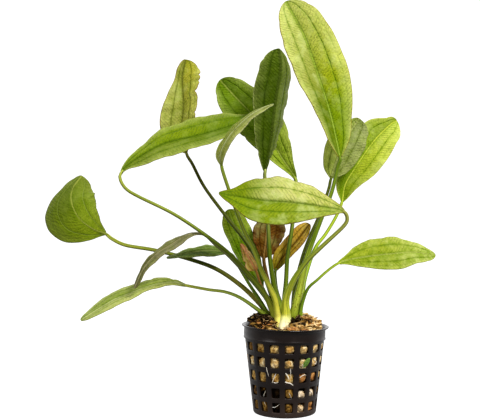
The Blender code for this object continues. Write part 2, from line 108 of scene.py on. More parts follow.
LEAVES = {
    "tall_right": dict(
        stalk=((4.4, -1.5, 55.7), (4.6, -1.5, 59), (8, 0, 74), (11, 0, 87), (14, 0, 97), (21, 0, 115),
            (27, 1, 130), (31, 2, 146)),
        rib=((32, 2, 151), (27, 8, 178), (19, 12, 205), (11, 12, 227), (0, 8, 246)),
        left=(6, 9.5, 15, 18.5, 18, 13), right=(7, 12, 17.5, 18.5, 16, 11), lean_left=(38, 38),
        lean_right=(10, 10), wave=(0.6, 4), thick=(2.3, 1.1)),
    "dark_upright": dict(
        stalk=((-2.6, 0, 55.7), (-3, 0, 59), (-6, 2, 69), (-8, 1, 78), (-10, -1, 92), (-11, -4, 109),
            (-12, -7, 125), (-13, -9, 137)),
        rib=((-13, -10, 142), (-10, -10, 159), (-7, -9, 183), (-4, -9, 202), (-5, -8, 214)),
        left=(4.5, 9, 11.5, 14, 13, 10), right=(3, 7, 11, 13, 13, 9), lean_left=(15, 15),
        lean_right=(-60, -60), wave=(0.5, 5), thick=(1.7, 1.1)),
    "behind_upright": dict(
        stalk=((0.8, 3.6, 55.7), (0.5, 3.6, 58), (-1, 3, 65), (0, 3, 77), (1, 4, 92), (4, 7, 110),
            (6, 11, 131)),
        rib=((6, 12, 139), (-1, 13, 150), (-15, 14, 172), (-33, 17, 192), (-40, 18, 200)),
        left=(3, 7, 12, 14, 13, 8), right=(3.5, 8.5, 13, 14.5, 12, 8), lean_left=(10, 10),
        lean_right=(20, 20), wave=(0.7, 4), thick=(1.5, 1.2)),
    "long_left": dict(
        stalk=((-7.9, -4.2, 55.7), (-8, -4.3, 59), (-13, -6, 70), (-22, -8, 81), (-34, -10, 94),
            (-48, -12, 105), (-66, -14, 117), (-86, -17, 127), (-93, -18.5, 131.5), (-96, -20, 137)),
        rib=((-95, -20, 141), (-89, -18, 147), (-72, -16, 157), (-50, -12, 163), (-29, -8, 170),
            (-21, -6, 174)),
        left=(4, 8, 13.5, 16, 14.5, 8), right=(5, 10, 12, 10, 9, 4), lean_left=(-45, -45),
        lean_right=(45, 50), wave=(0.6, 4), thick=(1.5, 0.95)),
    "folded_front": dict(
        stalk=((-5.4, -8, 55.7), (-5.6, -8.2, 59), (-7, -9, 67), (-11, -11, 76), (-15, -13, 84),
            (-20, -15, 97), (-26, -20, 109), (-34, -27, 131)),
        rib=((-38, -31, 144), (-38, -32, 151), (-34, -33, 159), (-29, -33, 165), (-21, -33, 172),
            (-14, -32, 176), (-9, -31, 178)),
        left=(5, 7, 7, 8, 7, 4), right=(4, 6, 8, 8, 7, 4), lean_left=(-62, -86), lean_right=(60, 76),
        wave=(0.4, 3), thick=(1.7, 1.0)),
    "olive_back": dict(
        stalk=((-6.3, 4, 55.7), (-6.5, 4, 59), (-10, 2.4, 72), (-17, 2.5, 89), (-26, 5, 103),
            (-34, 8, 113), (-49, 14, 133), (-57, 18, 148)),
        rib=((-61, 20, 155), (-64, 22, 169), (-63, 24, 185), (-64, 28, 203), (-62, 30, 215)),
        left=(7, 13, 14, 10.5, 5, 3.5), right=(5, 9, 10, 10.5, 13.5, 10), lean_left=(20, 20),
        lean_right=(35, 30), wave=(0.8, 5), thick=(1.5, 1.0)),
    "round_far_left": dict(
        stalk=((-11.6, 3.6, 55.7), (-11.7, 3.6, 57.5), (-15.5, 3.5, 63), (-27, 4, 74), (-42, 5, 84),
            (-59, 7, 90), (-79, 9, 95), (-97, 11, 98), (-106, 13, 102)),
        rib=((-110, 14, 105), (-118, 15, 108), (-127, 17, 115), (-132, 20, 125), (-132, 25, 133.5),
            (-127.5, 30, 141.3)),
        left=(4, 12, 20.8, 19.4, 7, 3), right=(5, 10, 14, 15, 14.3, 9.8), lean_left=(-15, -15),
        lean_right=(-20, 12), wave=(0.5, 3), thick=(1.6, 1.1)),
    "big_front": dict(
        stalk=((-1.3, -8.2, 55.7), (-1, -8.3, 59), (-1, -12, 68), (2.5, -18, 78), (7, -23, 86),
            (10.5, -27, 91), (15, -31, 96), (22, -35, 103), (29, -38, 110), (31, -39, 114)),
        rib=((29, -40, 118), (22, -41, 120), (0, -43, 123), (-15, -44, 124), (-28, -45, 126),
            (-39, -46, 128)),
        left=(4, 8, 13.5, 15.5, 12, 4.8), right=(5, 11, 15.5, 16.5, 11.5, 3.6), end=1.15,
        lean_left=(35, 35), lean_right=(-35, -35), wave=(0.6, 4), thick=(2.5, 1.05)),
    "broad_right": dict(
        stalk=((8.2, 3.1, 55.7), (8.3, 3.1, 59), (10, 4, 70), (12, 6, 80), (18, 10, 96), (25, 14, 105),
            (32, 18, 116)),
        rib=((36, 22, 125), (38, 24, 135), (44, 27, 145), (57, 32, 163), (68, 35, 174), (73, 37, 177)),
        left=(4.5, 8, 10.5, 12.5, 12, 5), right=(5.5, 9.5, 13.5, 14.5, 12.5, 8.5), lean_left=(20, 20),
        lean_right=(25, 25), wave=(0.7, 4), thick=(1.4, 1.0)),
    "grey_right": dict(
        stalk=((4.3, 4.8, 55.7), (4.2, 4.8, 59), (5, 5, 71), (8, 6, 84), (11, 7, 94), (15, 9, 104),
            (20, 10, 115), (26, 11, 131)),
        rib=((28, 12, 139), (32, 13, 151), (38, 15, 164), (46, 17, 176)),
        left=(5, 8, 10, 9.5, 7, 4), right=(6, 10, 12, 13, 11, 8), lean_left=(-10, -10),
        lean_right=(10, 10), wave=(0.5, 3), thick=(1.3, 0.95)),
    "low_right": dict(
        stalk=((7.9, -3.2, 55.7), (8.2, -3.2, 59), (9.4, -3.2, 65), (12.6, -3, 73), (18, -3, 78),
            (25, -2, 84)),
        rib=((31, -2, 88), (38, 0, 90), (51, 2, 92), (62, 4, 93), (77, 7, 94), (91, 10, 92)),
        left=(3, 9, 12, 12.5, 8, 4), right=(3, 6.5, 9.5, 10.5, 7.5, 4.5), lean_left=(-40, -40),
        lean_right=(30, 30), wave=(0.5, 4), thick=(1.15, 0.8)),
    "narrow_drooping": dict(
        stalk=((-7.6, -0.2, 55.7), (-8, -0.4, 59), (-13, -2, 68), (-22, -3, 79), (-34, -5, 92),
            (-42, -7, 99)),
        rib=((-49, -9, 105), (-58, -12, 104.5), (-68, -16, 98.5), (-75, -19, 94), (-82, -22, 86),
            (-87, -25, 75)),
        left=(2, 5, 6, 5, 3.5, 2.5), right=(2, 4, 6, 4, 3, 2), lean_left=(72, 50),
        lean_right=(-74, -52), wave=(0.5, 3), thick=(1.2, 0.9)),
    "small_left": dict(
        stalk=((-11.4, -0.9, 55.7), (-12, -0.7, 59), (-16, 0, 66), (-22, 1, 75), (-28, 2, 85)),
        rib=((-33, 2, 93), (-43, 1, 95), (-50, 0, 95), (-57, -1, 94), (-71, -3, 91)),
        left=(2.5, 5.5, 7, 6, 4, 2), right=(2.5, 5.5, 7, 6, 4, 2), lean_left=(65, 68),
        lean_right=(-65, -68), wave=(0.4, 3), thick=(1.2, 0.9)),
    "lowest_left": dict(
        stalk=((-12.2, -4.8, 55.7), (-12.4, -4.8, 57.0), (-17.3, -5, 60.8), (-27, -5, 67.4),
            (-36, -5, 71), (-46, -6, 72.5)),
        rib=((-59, -7, 75), (-68, -9, 77), (-80, -12, 75), (-91, -15, 71), (-101, -19, 67),
            (-117, -26, 57)),
        left=(2.5, 4, 5, 8, 8, 5), right=(3, 6.5, 8, 9, 7.5, 4.5), lean_left=(68, 70),
        lean_right=(-62, -65), wave=(0.25, 4), thick=(1.3, 0.9)),
    "green_behind": dict(
        stalk=((-7.7, 10.8, 55.7), (-8, 11.2, 59), (-11, 14, 66)),
        rib=((-14, 17, 72), (-20, 20, 83), (-26, 22, 95), (-30, 24, 107), (-35, 26, 120)),
        left=(2, 3.5, 5, 6.5, 7.5, 5.5), right=(3.5, 6.5, 9, 9.5, 9, 6.5), lean_left=(-10, -10),
        lean_right=(-15, -15), wave=(0.5, 3), thick=(1.5, 1.2)),
    "brown_middle": dict(
        stalk=((-4.9, 7.4, 55.7), (-5.5, 8, 59), (-9, 11, 71), (-12, 13, 83)),
        rib=((-13, 14, 90), (-12, 15, 99), (-11, 17, 108), (-9, 18, 117)),
        left=(3, 5.5, 8, 8.5, 7.5, 5.5), right=(5, 7, 10, 12, 11.5, 8), lean_left=(-12, -12),
        lean_right=(-15, -15), wave=(0.6, 4), thick=(1.4, 1.1)),
    "golden_brown": dict(
        stalk=((-0.9, 7.9, 55.7), (-1.5, 8, 59), (-5, 9, 70), (-6, 9.5, 77)),
        rib=((-6, 9.5, 83), (-3, 10, 89), (2, 11, 95), (8, 12, 102), (15, 14, 111)),
        left=(3.5, 6, 6.5, 6.5, 6, 4), right=(2.5, 3.5, 4, 4.5, 4, 2.5), lean_left=(12, 12),
        lean_right=(20, 20), wave=(0.4, 3), thick=(1.3, 0.9)),
    "withered": dict(
        stalk=((-8.9, 7, 55.7), (-9.2, 7.2, 59), (-13, 8.5, 69), (-16, 9, 77)),
        rib=((-18, 9, 83), (-22, 8.5, 90), (-27, 9, 99)),
        left=(4, 5.4, 4.8, 3.4, 2.3, 1.3), right=(3.5, 4.4, 4, 3, 2.2, 1.3), lean_left=(30, 30),
        lean_right=(10, 10), wave=(0.5, 2), thick=(1.0, 0.8)),
}

# Tones from base to tip of each half of a blade, then its veins, midrib, margin and deep patches;
# some halves carry a painted sheen, or painted light, in their tones
BLADE_TONES = {
    # tall_right: the pale tips and the paler middle of the left half are a painted sheen
    "tall_right": dict(
        left=("#74880a", "#a4aa44", "#d4d880"), right=("#90a80e", "#b0ba20", "#d6d87c"), vein="#5a7c0c",
        rib="#b4cc48", edge="#a09024", sheen=0.45, slanting=0.34, mottle=0.4, margin=0.6, line=0.8,
        low=0.3, rows=110, columns=48),
    # dark_upright: the grey tones of the right half are a painted sheen on its folded side
    "dark_upright": dict(
        left=("#4a6008", "#425804", "#4c620a"), right=("#6a7a20", "#6e7e30", "#6c7a30"), vein="#2c3e04",
        rib="#3c4e0c", edge="#a4ae64", sheen=0.06, margin=0.12, line=0.6, rows=100, columns=44),
    "behind_upright": dict(
        left=("#aabc38", "#84a01e", "#6c880e"), right=("#b8c848", "#88a41c", "#6c880e"), vein="#526c0c",
        rib="#b8c458", edge="#8a9a34", sheen=0.1, line=0.6, low=0.25, rows=90, columns=44),
    "long_left": dict(
        left=("#90a41c", "#84980e", "#66820e"), right=("#8c9c30", "#7e9026", "#66801a"), vein="#5a7a08",
        rib="#4d6a0c", edge="#b0b650", sheen=0.12, slanting=0.35, line=0.6, flank=0.5, rows=110,
        columns=48),
    "folded_front": dict(
        left=("#c0c45c", "#9aa244", "#909650"), right=("#bcbe64", "#a8ac50", "#9ca058"), vein="#737c36",
        rib="#c0c688", edge="#b8ba84", margin=0.2, rows=70, columns=36),
    "olive_back": dict(
        left=("#a6aa50", "#a4a64c", "#a6a44c"), right=("#acac58", "#b2b048", "#c8c23c"), vein="#6a6e22",
        rib="#686c20", edge="#8a6a28", rows=100, columns=44),
    "round_far_left": dict(
        left=("#a8ba24", "#6a7c12", "#707c38"), right=("#b0c030", "#82961c", "#808c30"), vein="#94a444",
        rib="#aab24c", edge="#70783a", sheen=0.05, slanting=0.08, margin=0.1, line=0.8, flank=0.0,
        low=0.12, rows=96, columns=52, underside=True),
    # big_front: the pale middle of the right half is a painted sheen
    "big_front": dict(
        left=("#bcc25c", "#92a21e", "#889c10"), right=("#ccca6c", "#d4d288", "#869610"), vein="#587a14",
        rib="#5a7a10", edge="#80642a", sheen=0.6, slanting=0.5, shine=(0.8, 0.6, 0.0, 1.0), mottle=0.7,
        margin=0.0, line=0.5, flank=0.25, high=0.8, rows=110, columns=52),
    "broad_right": dict(
        left=("#86a010", "#98b41c", "#bcc844"), right=("#8ca010", "#c2cc3c", "#d6de6c"), vein="#7c9a10",
        rib="#dce250", edge="#c8c840", slanting=0.35, mottle=0.4, rows=96, columns=44),
    # grey_right: the left half is paler than its own colour, painted light against the shade of tall_right
    # above it
    "grey_right": dict(
        left=("#dce484", "#ccd274", "#b4bc74"), right=("#aab264", "#a4ac68", "#a0a86c"), vein="#76822e",
        rib="#b8c070", edge="#989e5a", margin=0.1, rows=76, columns=36),
    "low_right": dict(
        left=("#acb828", "#acb634", "#d0d680"), right=("#b0bc38", "#a0ae28", "#d0d680"), vein="#7c981a",
        rib="#ccd66a", edge="#a8b03c", slanting=0.35, mottle=1.0, line=0.6, flank=0.4, rows=96,
        columns=40),
    "narrow_drooping": dict(
        left=("#948e6c", "#948e6a", "#66692e"), right=("#86835a", "#807c4c", "#62662c"), vein="#605c38",
        rib="#a49e70", edge="#8a8050", margin=0.1, rows=70, columns=26),
    "small_left": dict(
        left=("#76903c", "#6a8230", "#74883e"), right=("#8ca452", "#7a9038", "#7a8e40"), vein="#485c1c",
        rib="#a4b264", edge="#7e8a42", margin=0.15, rows=64, columns=26),
    "lowest_left": dict(
        left=("#e0de8a", "#c2c67a", "#b8be6c"), right=("#bcc462", "#a4b058", "#a8b25c"), vein="#6c8030",
        rib="#c8d086", edge="#a4aa56", rows=84, columns=30),
    "green_behind": dict(
        left=("#7ca008", "#6e900a", "#909c1c"), right=("#7c9e08", "#6e9006", "#909c1c"), vein="#4c6806",
        rib="#94ac34", edge="#788820", sheen=0.1, margin=0.15, low=0.0, rows=76, columns=32),
    "brown_middle": dict(
        left=("#80501a", "#7c4a18", "#603a10"), right=("#7c4c18", "#744414", "#5c3610"), vein="#3c1e06",
        rib="#a0783c", edge="#4a2e10", slanting=0.7, margin=0.0, rows=70, columns=36),
    # golden_brown: paler than its own colour, painted light as it lies in shade behind other leaves
    "golden_brown": dict(
        left=("#a4921c", "#d0a440", "#f0bc50"), right=("#86821a", "#c89c3c", "#e8b44c"), vein="#6c4810",
        rib="#5c400c", edge="#7a4c18", margin=0.0, rows=70, columns=28),
    # withered: nearly white, far paler than its own orange brown, painted light as it lies in shade
    "withered": dict(
        left=("#ffe4c4", "#ffe8d0", "#fff0dc"), right=("#ffdcb8", "#ffe4c8", "#ffecd4"), vein="#c88c64",
        rib="#f0c09c", edge="#b06c38", mottle=0.3, margin=0.0, through=0.6, rows=40, columns=18),
}

# Tones of each stalk at its foot, a fifth of the way up, halfway and at the blade
STALK_TONES = {
    "tall_right": ("#9caa2e", "#b0bc3e", "#6a801c", "#6a821a"),
    "dark_upright": ("#acb436", "#768c20", "#5e7018", "#a0a858"),
    "behind_upright": ("#a4b43e", "#7e9424", "#4c5e14", "#8e9c34"),
    "long_left": ("#b8be3c", "#82902a", "#62741c", "#a8b044"),
    "folded_front": ("#f4e478", "#dcd848", "#98a634", "#809030"),
    "olive_back": ("#6e7c20", "#48580c", "#353f08", "#4c4c10"),
    "round_far_left": ("#4a4a18", "#8a8430", "#485410", "#a4ac3c"),
    "big_front": ("#fff4c4", "#e2e648", "#a8ba34", "#9c9a4c"),
    "broad_right": ("#b4c03c", "#98b02c", "#88a424", "#b4c430"),
    "grey_right": ("#98a038", "#6e7a24", "#545f1c", "#646e24"),
    "low_right": ("#a8bc34", "#84a026", "#637f1c", "#acc034"),
    "narrow_drooping": ("#909c34", "#6e7c24", "#66702c", "#8a8458"),
    "small_left": ("#90a034", "#6a801e", "#5e7820", "#6a802c"),
    "lowest_left": ("#5e6c14", "#708020", "#9cb048", "#c6cc50"),
    "green_behind": ("#909a34", "#809a18", "#809a10", "#809a10"),
    "brown_middle": ("#5a4a18", "#6a4c20", "#5c3c18", "#6c4820"),
    "golden_brown": ("#2a300c", "#222c0c", "#26380c", "#4e5c14"),
    "withered": ("#8a7430", "#a07a34", "#a87434", "#c08440"),
}


def rgb(code):
    """A linear colour from its sRGB hex code."""
    parts = [int(code[i:i + 2], 16) / 255 for i in (1, 3, 5)]
    return (*[p / 12.92 if p <= 0.04045 else ((p + 0.055) / 1.055) ** 2.4 for p in parts], 1)


def add(look, kind, *placed, out=0, **named):
    """Adds a node to a look and gives one of its outputs.

    A kind in capitals is the operation of a Math node. Placed values go to the inputs in their
    order. A named value goes to the input of that name where it starts with a capital, and sets
    the node's own property where it doesn't.
    """
    made = look.node_tree.nodes.new("ShaderNode" + ("Math" if kind.isupper() else kind))
    if kind.isupper():
        made.operation = kind
    for name, value in named.items():
        if name == "stops":
            ramp = made.color_ramp.elements
            for i, (place, code) in enumerate(value):
                stop = ramp[i] if i < 2 else ramp.new(place)
                stop.position, stop.color = place, rgb(code)
        elif not name[0].isupper():
            setattr(made, name, value)
    pairs = [(made.inputs[i], v) for i, v in enumerate(placed)]
    pairs += [(made.inputs[n.replace("_", " ")], v) for n, v in named.items() if n[0].isupper()]
    for socket, value in pairs:
        if isinstance(value, bpy.types.NodeSocket):
            look.node_tree.links.new(value, socket)
        elif isinstance(value, str):
            socket.default_value = rgb(value)
        else:
            socket.default_value = value
    return made.outputs[out]


def new_look(name, **sockets):
    """A Principled look, with the shader's own sockets set or linked later by dress()."""
    look = bpy.data.materials.new(name)
    look.use_nodes = True
    dress(look, **sockets)
    return look


def dress(look, **sockets):
    """Sets or links the shader's own sockets, with _ for the spaces in their names."""
    shader = look.node_tree.nodes["Principled BSDF"]
    for name, value in sockets.items():
        socket = shader.inputs[name.replace("_", " ")]
        if isinstance(value, bpy.types.NodeSocket):
            look.node_tree.links.new(value, socket)
        else:
            socket.default_value = rgb(value) if isinstance(value, str) else value


def let_light_through(look, colour, share, bump):
    """Mixes in light that shines through from the other side, and comes out more yellow."""
    tree = look.node_tree
    solid = tree.nodes["Principled BSDF"].outputs[0]
    warm = add(look, "MixRGB", 1.0, colour, (1.2, 1.2, 0.4, 1), blend_type="MULTIPLY")
    through = add(look, "BsdfTranslucent", warm, bump)
    both = add(look, "MixShader", share, solid, through)
    tree.links.new(both, tree.nodes["Material Output"].inputs[0])


# What the deeper patches, and the painted shade in the vein valleys and beside the midrib, leave of a
# blade's tone
DEEPER = (0.68, 0.78, 0.35, 1)

# Patterns of a blade, in repeats to a millimetre
PATCHES = 0.11  # 9 mm from one to the next
BLOTCHES = 0.24  # 4 mm
GRAIN = 0.6  # 1.7 mm
VEIN_CELLS = 0.85  # 1.2 mm, coarser than the real ones so that they show

# Arched side veins: share of the half width where they run, width in millimetres, strength
ARCHED_VEINS = ((0.5, 0.55, 1.0), (0.8, 0.4, 0.25))

# Slanting veins: millimetres from one to the next and back, and how steeply they run to the tip
SLANT_SPACING = 1.05
SLANT_FALL = -0.75


def leaf_look(name, left, right, vein, rib, edge, slanting=0.28, sheen=0.3,
              shine=(0.1, 0.5, 0.2, 1.0), mottle=0.6, margin=0.3, line=0.9, flank=0.55,
              low=0.0, high=1.0, through=0.35):
    """Living blade: a tone for each half, mottling, arched and slanting veins, midrib and margin.

    To the eye it is a soft green skin, puffed up between sunken veins, that some light shines through.
    Its faint sheen is painted into the tone as pale patches, and shade is painted into the vein
    valleys and beside the midrib.
    """
    look = new_look("leaf " + name.replace("_", " "), Specular_IOR_Level=0.18, Specular_Tint="#d2dc50")
    node = partial(add, look)
    face = node("UVMap", uv_map="leaf")
    flat = node("UVMap", uv_map="millimetres")
    across = node("SeparateXYZ", face)
    share = node("SeparateXYZ", face, out=1)
    out_mm = node("ABSOLUTE", node("SeparateXYZ", flat))
    up_mm = node("SeparateXYZ", flat, out=1)
    broad = node("TexNoise", flat, Scale=PATCHES, Detail=3.0, Roughness=0.55)
    blotches = node("TexNoise", flat, Scale=BLOTCHES, Detail=4.0, Roughness=0.65)
    fine = node("TexNoise", flat, Scale=GRAIN, Detail=2.0)
    signed = node("MULTIPLY_ADD", across, 2.0, -1.0)
    wobble = node("MULTIPLY_ADD", broad, 0.07, -0.035)
    side = node("ADD", node("ABSOLUTE", signed), wobble)
    half_width = node("DIVIDE", out_mm, node("MAXIMUM", side, 0.05))

    # Tones of the two halves, with a painted sheen in pale patches, a pale margin and a deeper green in
    # patches
    halves = [
        node("ValToRGB", share, stops=((low, codes[0]), (high, codes[2]), (0.5, codes[1])))
        for codes in (left, right)
    ]
    tone = node("MixRGB", node("MapRange", signed, -0.1, 0.1), *halves)
    # Painted sheen: pale patches that stand in for light reflected off the blade
    pale = node("MULTIPLY", node("MapRange", broad, 0.52, 0.34, 0.0, sheen),
                node("MapRange", share, *shine))
    tone = node("MixRGB", pale, tone, "#ccd490")
    tone = node("MixRGB", node("MapRange", side, 0.55, 1.0, 0.0, margin), tone, "#e2e48c")
    patches = node("MapRange", blotches, 0.42, 0.62, 0.0, mottle)
    tone = node("MixRGB", patches, tone, DEEPER, blend_type="MULTIPLY")

    # Arched side veins keep their share of the half width and lie in shallow valleys, darkened with painted
    # shade
    thin, wide = [], []
    for place, width, depth in ARCHED_VEINS:
        off = node("ABSOLUTE", node("SUBTRACT", side, place))
        off_mm = node("MULTIPLY", off, half_width)
        thin.append(node("MapRange", off_mm, 0.1, width, depth, 0.0))
        wide.append(node("MapRange", off_mm, 0.0, 4 * width, depth, 0.0, interpolation_type="SMOOTHSTEP"))
    arches = node("MULTIPLY", node("MAXIMUM", *thin),
                  node("MapRange", blotches, 0.38, 0.6, 0.45, 1.0))
    # Painted shade: the tone is deepened in the valleys of the arched veins and for a few millimetres
    # beside the midrib
    valleys = node("MAXIMUM", node("MAXIMUM", *wide),
                   node("MapRange", out_mm, 0.6, 3.6, 1.0, 0.0))
    valleys = node("MULTIPLY", valleys, node("MapRange", blotches, 0.3, 0.6, 0.25, 0.7))
    tone = node("MixRGB", valleys, tone, DEEPER, blend_type="MULTIPLY")

    # Slanting veins run between them, broken up by the grain and fading out in places
    slant = node("MULTIPLY_ADD", out_mm, SLANT_FALL, up_mm)
    slant = node("MULTIPLY_ADD", blotches, 4.0, slant)
    cross = node("PINGPONG", slant, SLANT_SPACING)
    cross = node("MapRange", cross, 0.05, 0.5, 1.0, 0.0)
    for noise, *strengths in ((fine, 0.35, 0.6, 0.3, 1.0), (broad, 0.4, 0.6, 0.15, 1.0)):
        cross = node("MULTIPLY", cross, node("MapRange", noise, *strengths))
    drawn = node("MAXIMUM", node("MULTIPLY", arches, 0.8),
                 node("MULTIPLY", cross, slanting))
    tone = node("MixRGB", drawn, tone, vein)

    # Midrib between flanks darkened with painted shade, and a thin dry margin
    tone = node("MixRGB", node("MapRange", out_mm, 0.8, 1.3, flank, 0.0), tone, vein)
    core = node("MULTIPLY", node("MapRange", out_mm, 0.3, 0.6, line, 0.0),
                node("MapRange", broad, 0.62, 0.5, 0.5, 1.0))
    tone = node("MixRGB", core, tone, rib)
    inset = node("MULTIPLY", node("SUBTRACT", 1.0, side), half_width)
    tone = node("MixRGB", node("MapRange", inset, 0.15, 0.55, 0.8, 0.0), tone, edge)

    # Relief: sunken veins with fine cells puffed up between them
    veins = node("MAXIMUM", arches, cross)
    cells = node("TexVoronoi", flat, Scale=VEIN_CELLS, feature="SMOOTH_F1")
    height = node("MULTIPLY_ADD", veins, -1.0, cells)
    bump = node("Bump", Strength=0.7, Distance=0.0005, Height=height)
    gloss = node("MapRange", fine, 0.3, 0.7, 0.36, 0.52)
    dress(look, Base_Color=tone, Normal=bump, Roughness=gloss)
    let_light_through(look, tone, through, bump)
    return look


# Painted light and shade round a stalk, over its ridges: lighter on its right and upper side, darker
# towards its left and lower side, from its right side over its front to its left side and back
STALK_LIGHT_AND_SHADE_BANDS = ((0.0, "#ffffff"), (1.0, "#ffffff"), (0.06, "#d8d8d8"), (0.11, "#484848"),
               (0.17, "#a4a4a4"), (0.24, "#ececec"), (0.31, "#bcbcbc"), (0.38, "#545454"),
               (0.45, "#181818"), (0.52, "#909090"), (0.62, "#484848"), (0.72, "#d8d8d8"),
               (0.82, "#a4a4a4"), (0.9, "#383838"))

# What the darker streaks and painted shade, and the paler streaks and painted light, leave of a stalk's
# tone
DARK_BAND = (0.36, 0.44, 0.2, 1)
PALE_BAND = (1.6, 1.5, 1.7, 1)

# Patterns of a stalk, in repeats to a millimetre across it and along it
WANDER = (0.12, 0.03, 1.0)  # 8 mm across and 33 mm along
STREAKS = (0.9, 0.03, 1.0)  # 1.1 mm across and 33 mm along
SPECKS = 1.0

# How strongly the lower part of a stalk is flecked with brown
USUAL_FLECKS = 0.25
FLECKS = {"tall_right": 0.9}


def stalk_look(name, tones):
    """Fleshy stalk, ribbed and moist: a pale foot, painted light and shade in bands round it, streaks,
    brown flecks.
    """
    look = new_look("stalk " + name.replace("_", " "), Roughness=0.4, Specular_IOR_Level=0.25,
                    Specular_Tint="#dce47c")
    node = partial(add, look)
    face = node("UVMap", uv_map="leaf")
    flat = node("UVMap", uv_map="millimetres")
    share = node("SeparateXYZ", face, out=1)
    tone = node("ValToRGB", share,
                stops=((0.075, tones[0]), (1.0, tones[3]), (0.16, tones[1]), (0.5, tones[2])))

    # Long noises, drawn out along the stalk: the bands wander with one, the other gives streaks
    drift = node("TexNoise", node("Mapping", flat, Scale=WANDER), Scale=1.0, Detail=2.0)
    streaks = node("TexNoise", node("Mapping", flat, Scale=STREAKS), Scale=1.0, Detail=3.0)
    turn = node("MULTIPLY_ADD", drift, 0.2, node("SeparateXYZ", face))
    bands = node("ValToRGB", node("SUBTRACT", turn, 0.1), stops=STALK_LIGHT_AND_SHADE_BANDS)
    # Darker: streaks and the shade painted on the stalk's left and lower side; paler: streaks and the light
    # painted on its right and upper side
    darker = node("MAXIMUM", node("MapRange", streaks, 0.48, 0.62, 0.0, 0.7),
                  node("MapRange", bands, 0.45, 0.0, 0.0, 0.85))
    darker = node("MULTIPLY", darker, node("MapRange", share, 0.02, 0.2, 0.5, 1.0))
    tone = node("MixRGB", darker, tone, DARK_BAND, blend_type="MULTIPLY")
    paler = node("MAXIMUM", node("MapRange", streaks, 0.44, 0.3, 0.0, 0.6),
                 node("MapRange", bands, 0.6, 1.0, 0.0, 0.9))
    paler = node("MULTIPLY", paler, node("MapRange", share, 0.06, 0.2, 0.3, 1.0))
    tone = node("MixRGB", paler, tone, PALE_BAND, blend_type="MULTIPLY")

    flecks = node("TexNoise", flat, Scale=SPECKS, Detail=2.0)
    low = node("MapRange", share, 0.34, 0.2, 0.0, FLECKS.get(name, USUAL_FLECKS))
    specks = node("MULTIPLY", node("MapRange", flecks, 0.57, 0.66), low)
    tone = node("MixRGB", specks, tone, "#64380f")
    bump = node("Bump", Strength=0.35, Distance=0.0002, Height=streaks)
    dress(look, Base_Color=tone, Normal=bump)
    let_light_through(look, tone, 0.05, bump)
    return look


# Patterns of the pot, the medium, the roots and the floor, in repeats to a millimetre
MOULD_RIPPLE = 0.16  # 6 mm from one to the next
SATIN_GRAIN = 2.6  # 0.4 mm
CHIP_PATCHES = 0.26  # 4 mm
CHIP_STRINGS = (0.9, 2.6, 0.5)  # 1.1 mm by 0.4 mm by 2 mm
ROOT_PATCHES = 0.42  # 2.4 mm
PAPER_FIBRE = 0.9  # 1.1 mm


def pot_look():
    """Moulded polypropylene: a black satin skin with a soft ripple, a smoother rim, dust in patches and a
    foot that grows paler towards the bottom.
    """
    look = new_look("moulded black polypropylene", Specular_IOR_Level=0.32)
    node = partial(add, look)
    place = node("TexCoord", out=3)
    height = node("SeparateXYZ", place, out=2)
    ripple = node("TexNoise", place, Scale=MOULD_RIPPLE / MM, Detail=3.0)
    grain = node("TexNoise", place, Scale=SATIN_GRAIN / MM, Detail=2.0)
    # Dust in patches, and a tone that grows paler towards the bottom of the foot
    dust_and_paler_foot = node("MAXIMUM", node("MapRange", ripple, 0.5, 0.78, 0.0, 0.3),
                node("MapRange", height, 0.016, 0.001, 0.05, 0.9))
    tone = node("MixRGB", dust_and_paler_foot, "#120805", "#33261f")
    relief = node("MULTIPLY_ADD", ripple, 0.8, grain)
    bump = node("Bump", Strength=0.25, Distance=0.0002, Height=relief)
    gloss = node("SUBTRACT", node("MapRange", ripple, 0.3, 0.7, 0.26, 0.4),
                 node("MapRange", height, 0.0496, 0.0506, 0.0, 0.15))
    dress(look, Base_Color=tone, Normal=bump, Roughness=gloss)
    return look


def chip_look(name, tones, dark):
    """Moist fibrous chip: a tone that shifts from chip to chip, stringy grain and dark pits."""
    look = new_look(name, Roughness=0.75, Specular_IOR_Level=0.15, Specular_Tint="#e8b060")
    node = partial(add, look)
    place = node("TexCoord", out=3)
    spread = node("TexNoise", place, Scale=CHIP_PATCHES / MM, Detail=2.0)
    tone = node("ValToRGB", spread, stops=((0.34, tones[0]), (0.66, tones[2]), (0.5, tones[1])))
    strings = [count / MM for count in CHIP_STRINGS]
    grain = node("Mapping", place, Rotation=(0.5, 0.9, 0.3), Scale=strings)
    fibres = node("TexNoise", grain, Scale=1.0, Detail=4.0)
    tone = node("MixRGB", node("MapRange", fibres, 0.38, 0.54, 0.85, 0.0), tone, dark)
    bump = node("Bump", Strength=0.8, Distance=0.0005, Height=fibres)
    dress(look, Base_Color=tone, Normal=bump)
    return look


def root_look(name, tones):
    """Thin root or fibre, uneven along its length."""
    look = new_look(name, Roughness=0.5)
    place = add(look, "TexCoord", out=3)
    uneven = add(look, "TexNoise", place, Scale=ROOT_PATCHES / MM, Detail=3.0)
    tone = add(look, "ValToRGB", uneven, stops=((0.35, tones[0]), (0.65, tones[1])))
    bump = add(look, "Bump", Strength=0.4, Distance=0.0001, Height=uneven)
    dress(look, Base_Color=tone, Normal=bump)
    return look


def grid_faces(rows, columns, wrap=False, first=0):
    """Quads between the points of a grid, closed round its columns where it wraps."""
    r = np.arange(rows - 1)[:, None]
    c = np.arange(columns if wrap else columns - 1)[None, :]
    n = (c + 1) % columns
    corners = (r * columns + c, r * columns + n, (r + 1) * columns + n, (r + 1) * columns + c)
    return np.stack([np.broadcast_to(k, np.broadcast_shapes(r.shape, c.shape)) for k in corners],
                    axis=-1).reshape(-1, 4) + first


def grid_pairs(across, along):
    """A pair of values for each point of a grid, row by row."""
    return np.stack(np.broadcast_arrays(across, along), -1).reshape(-1, 2)


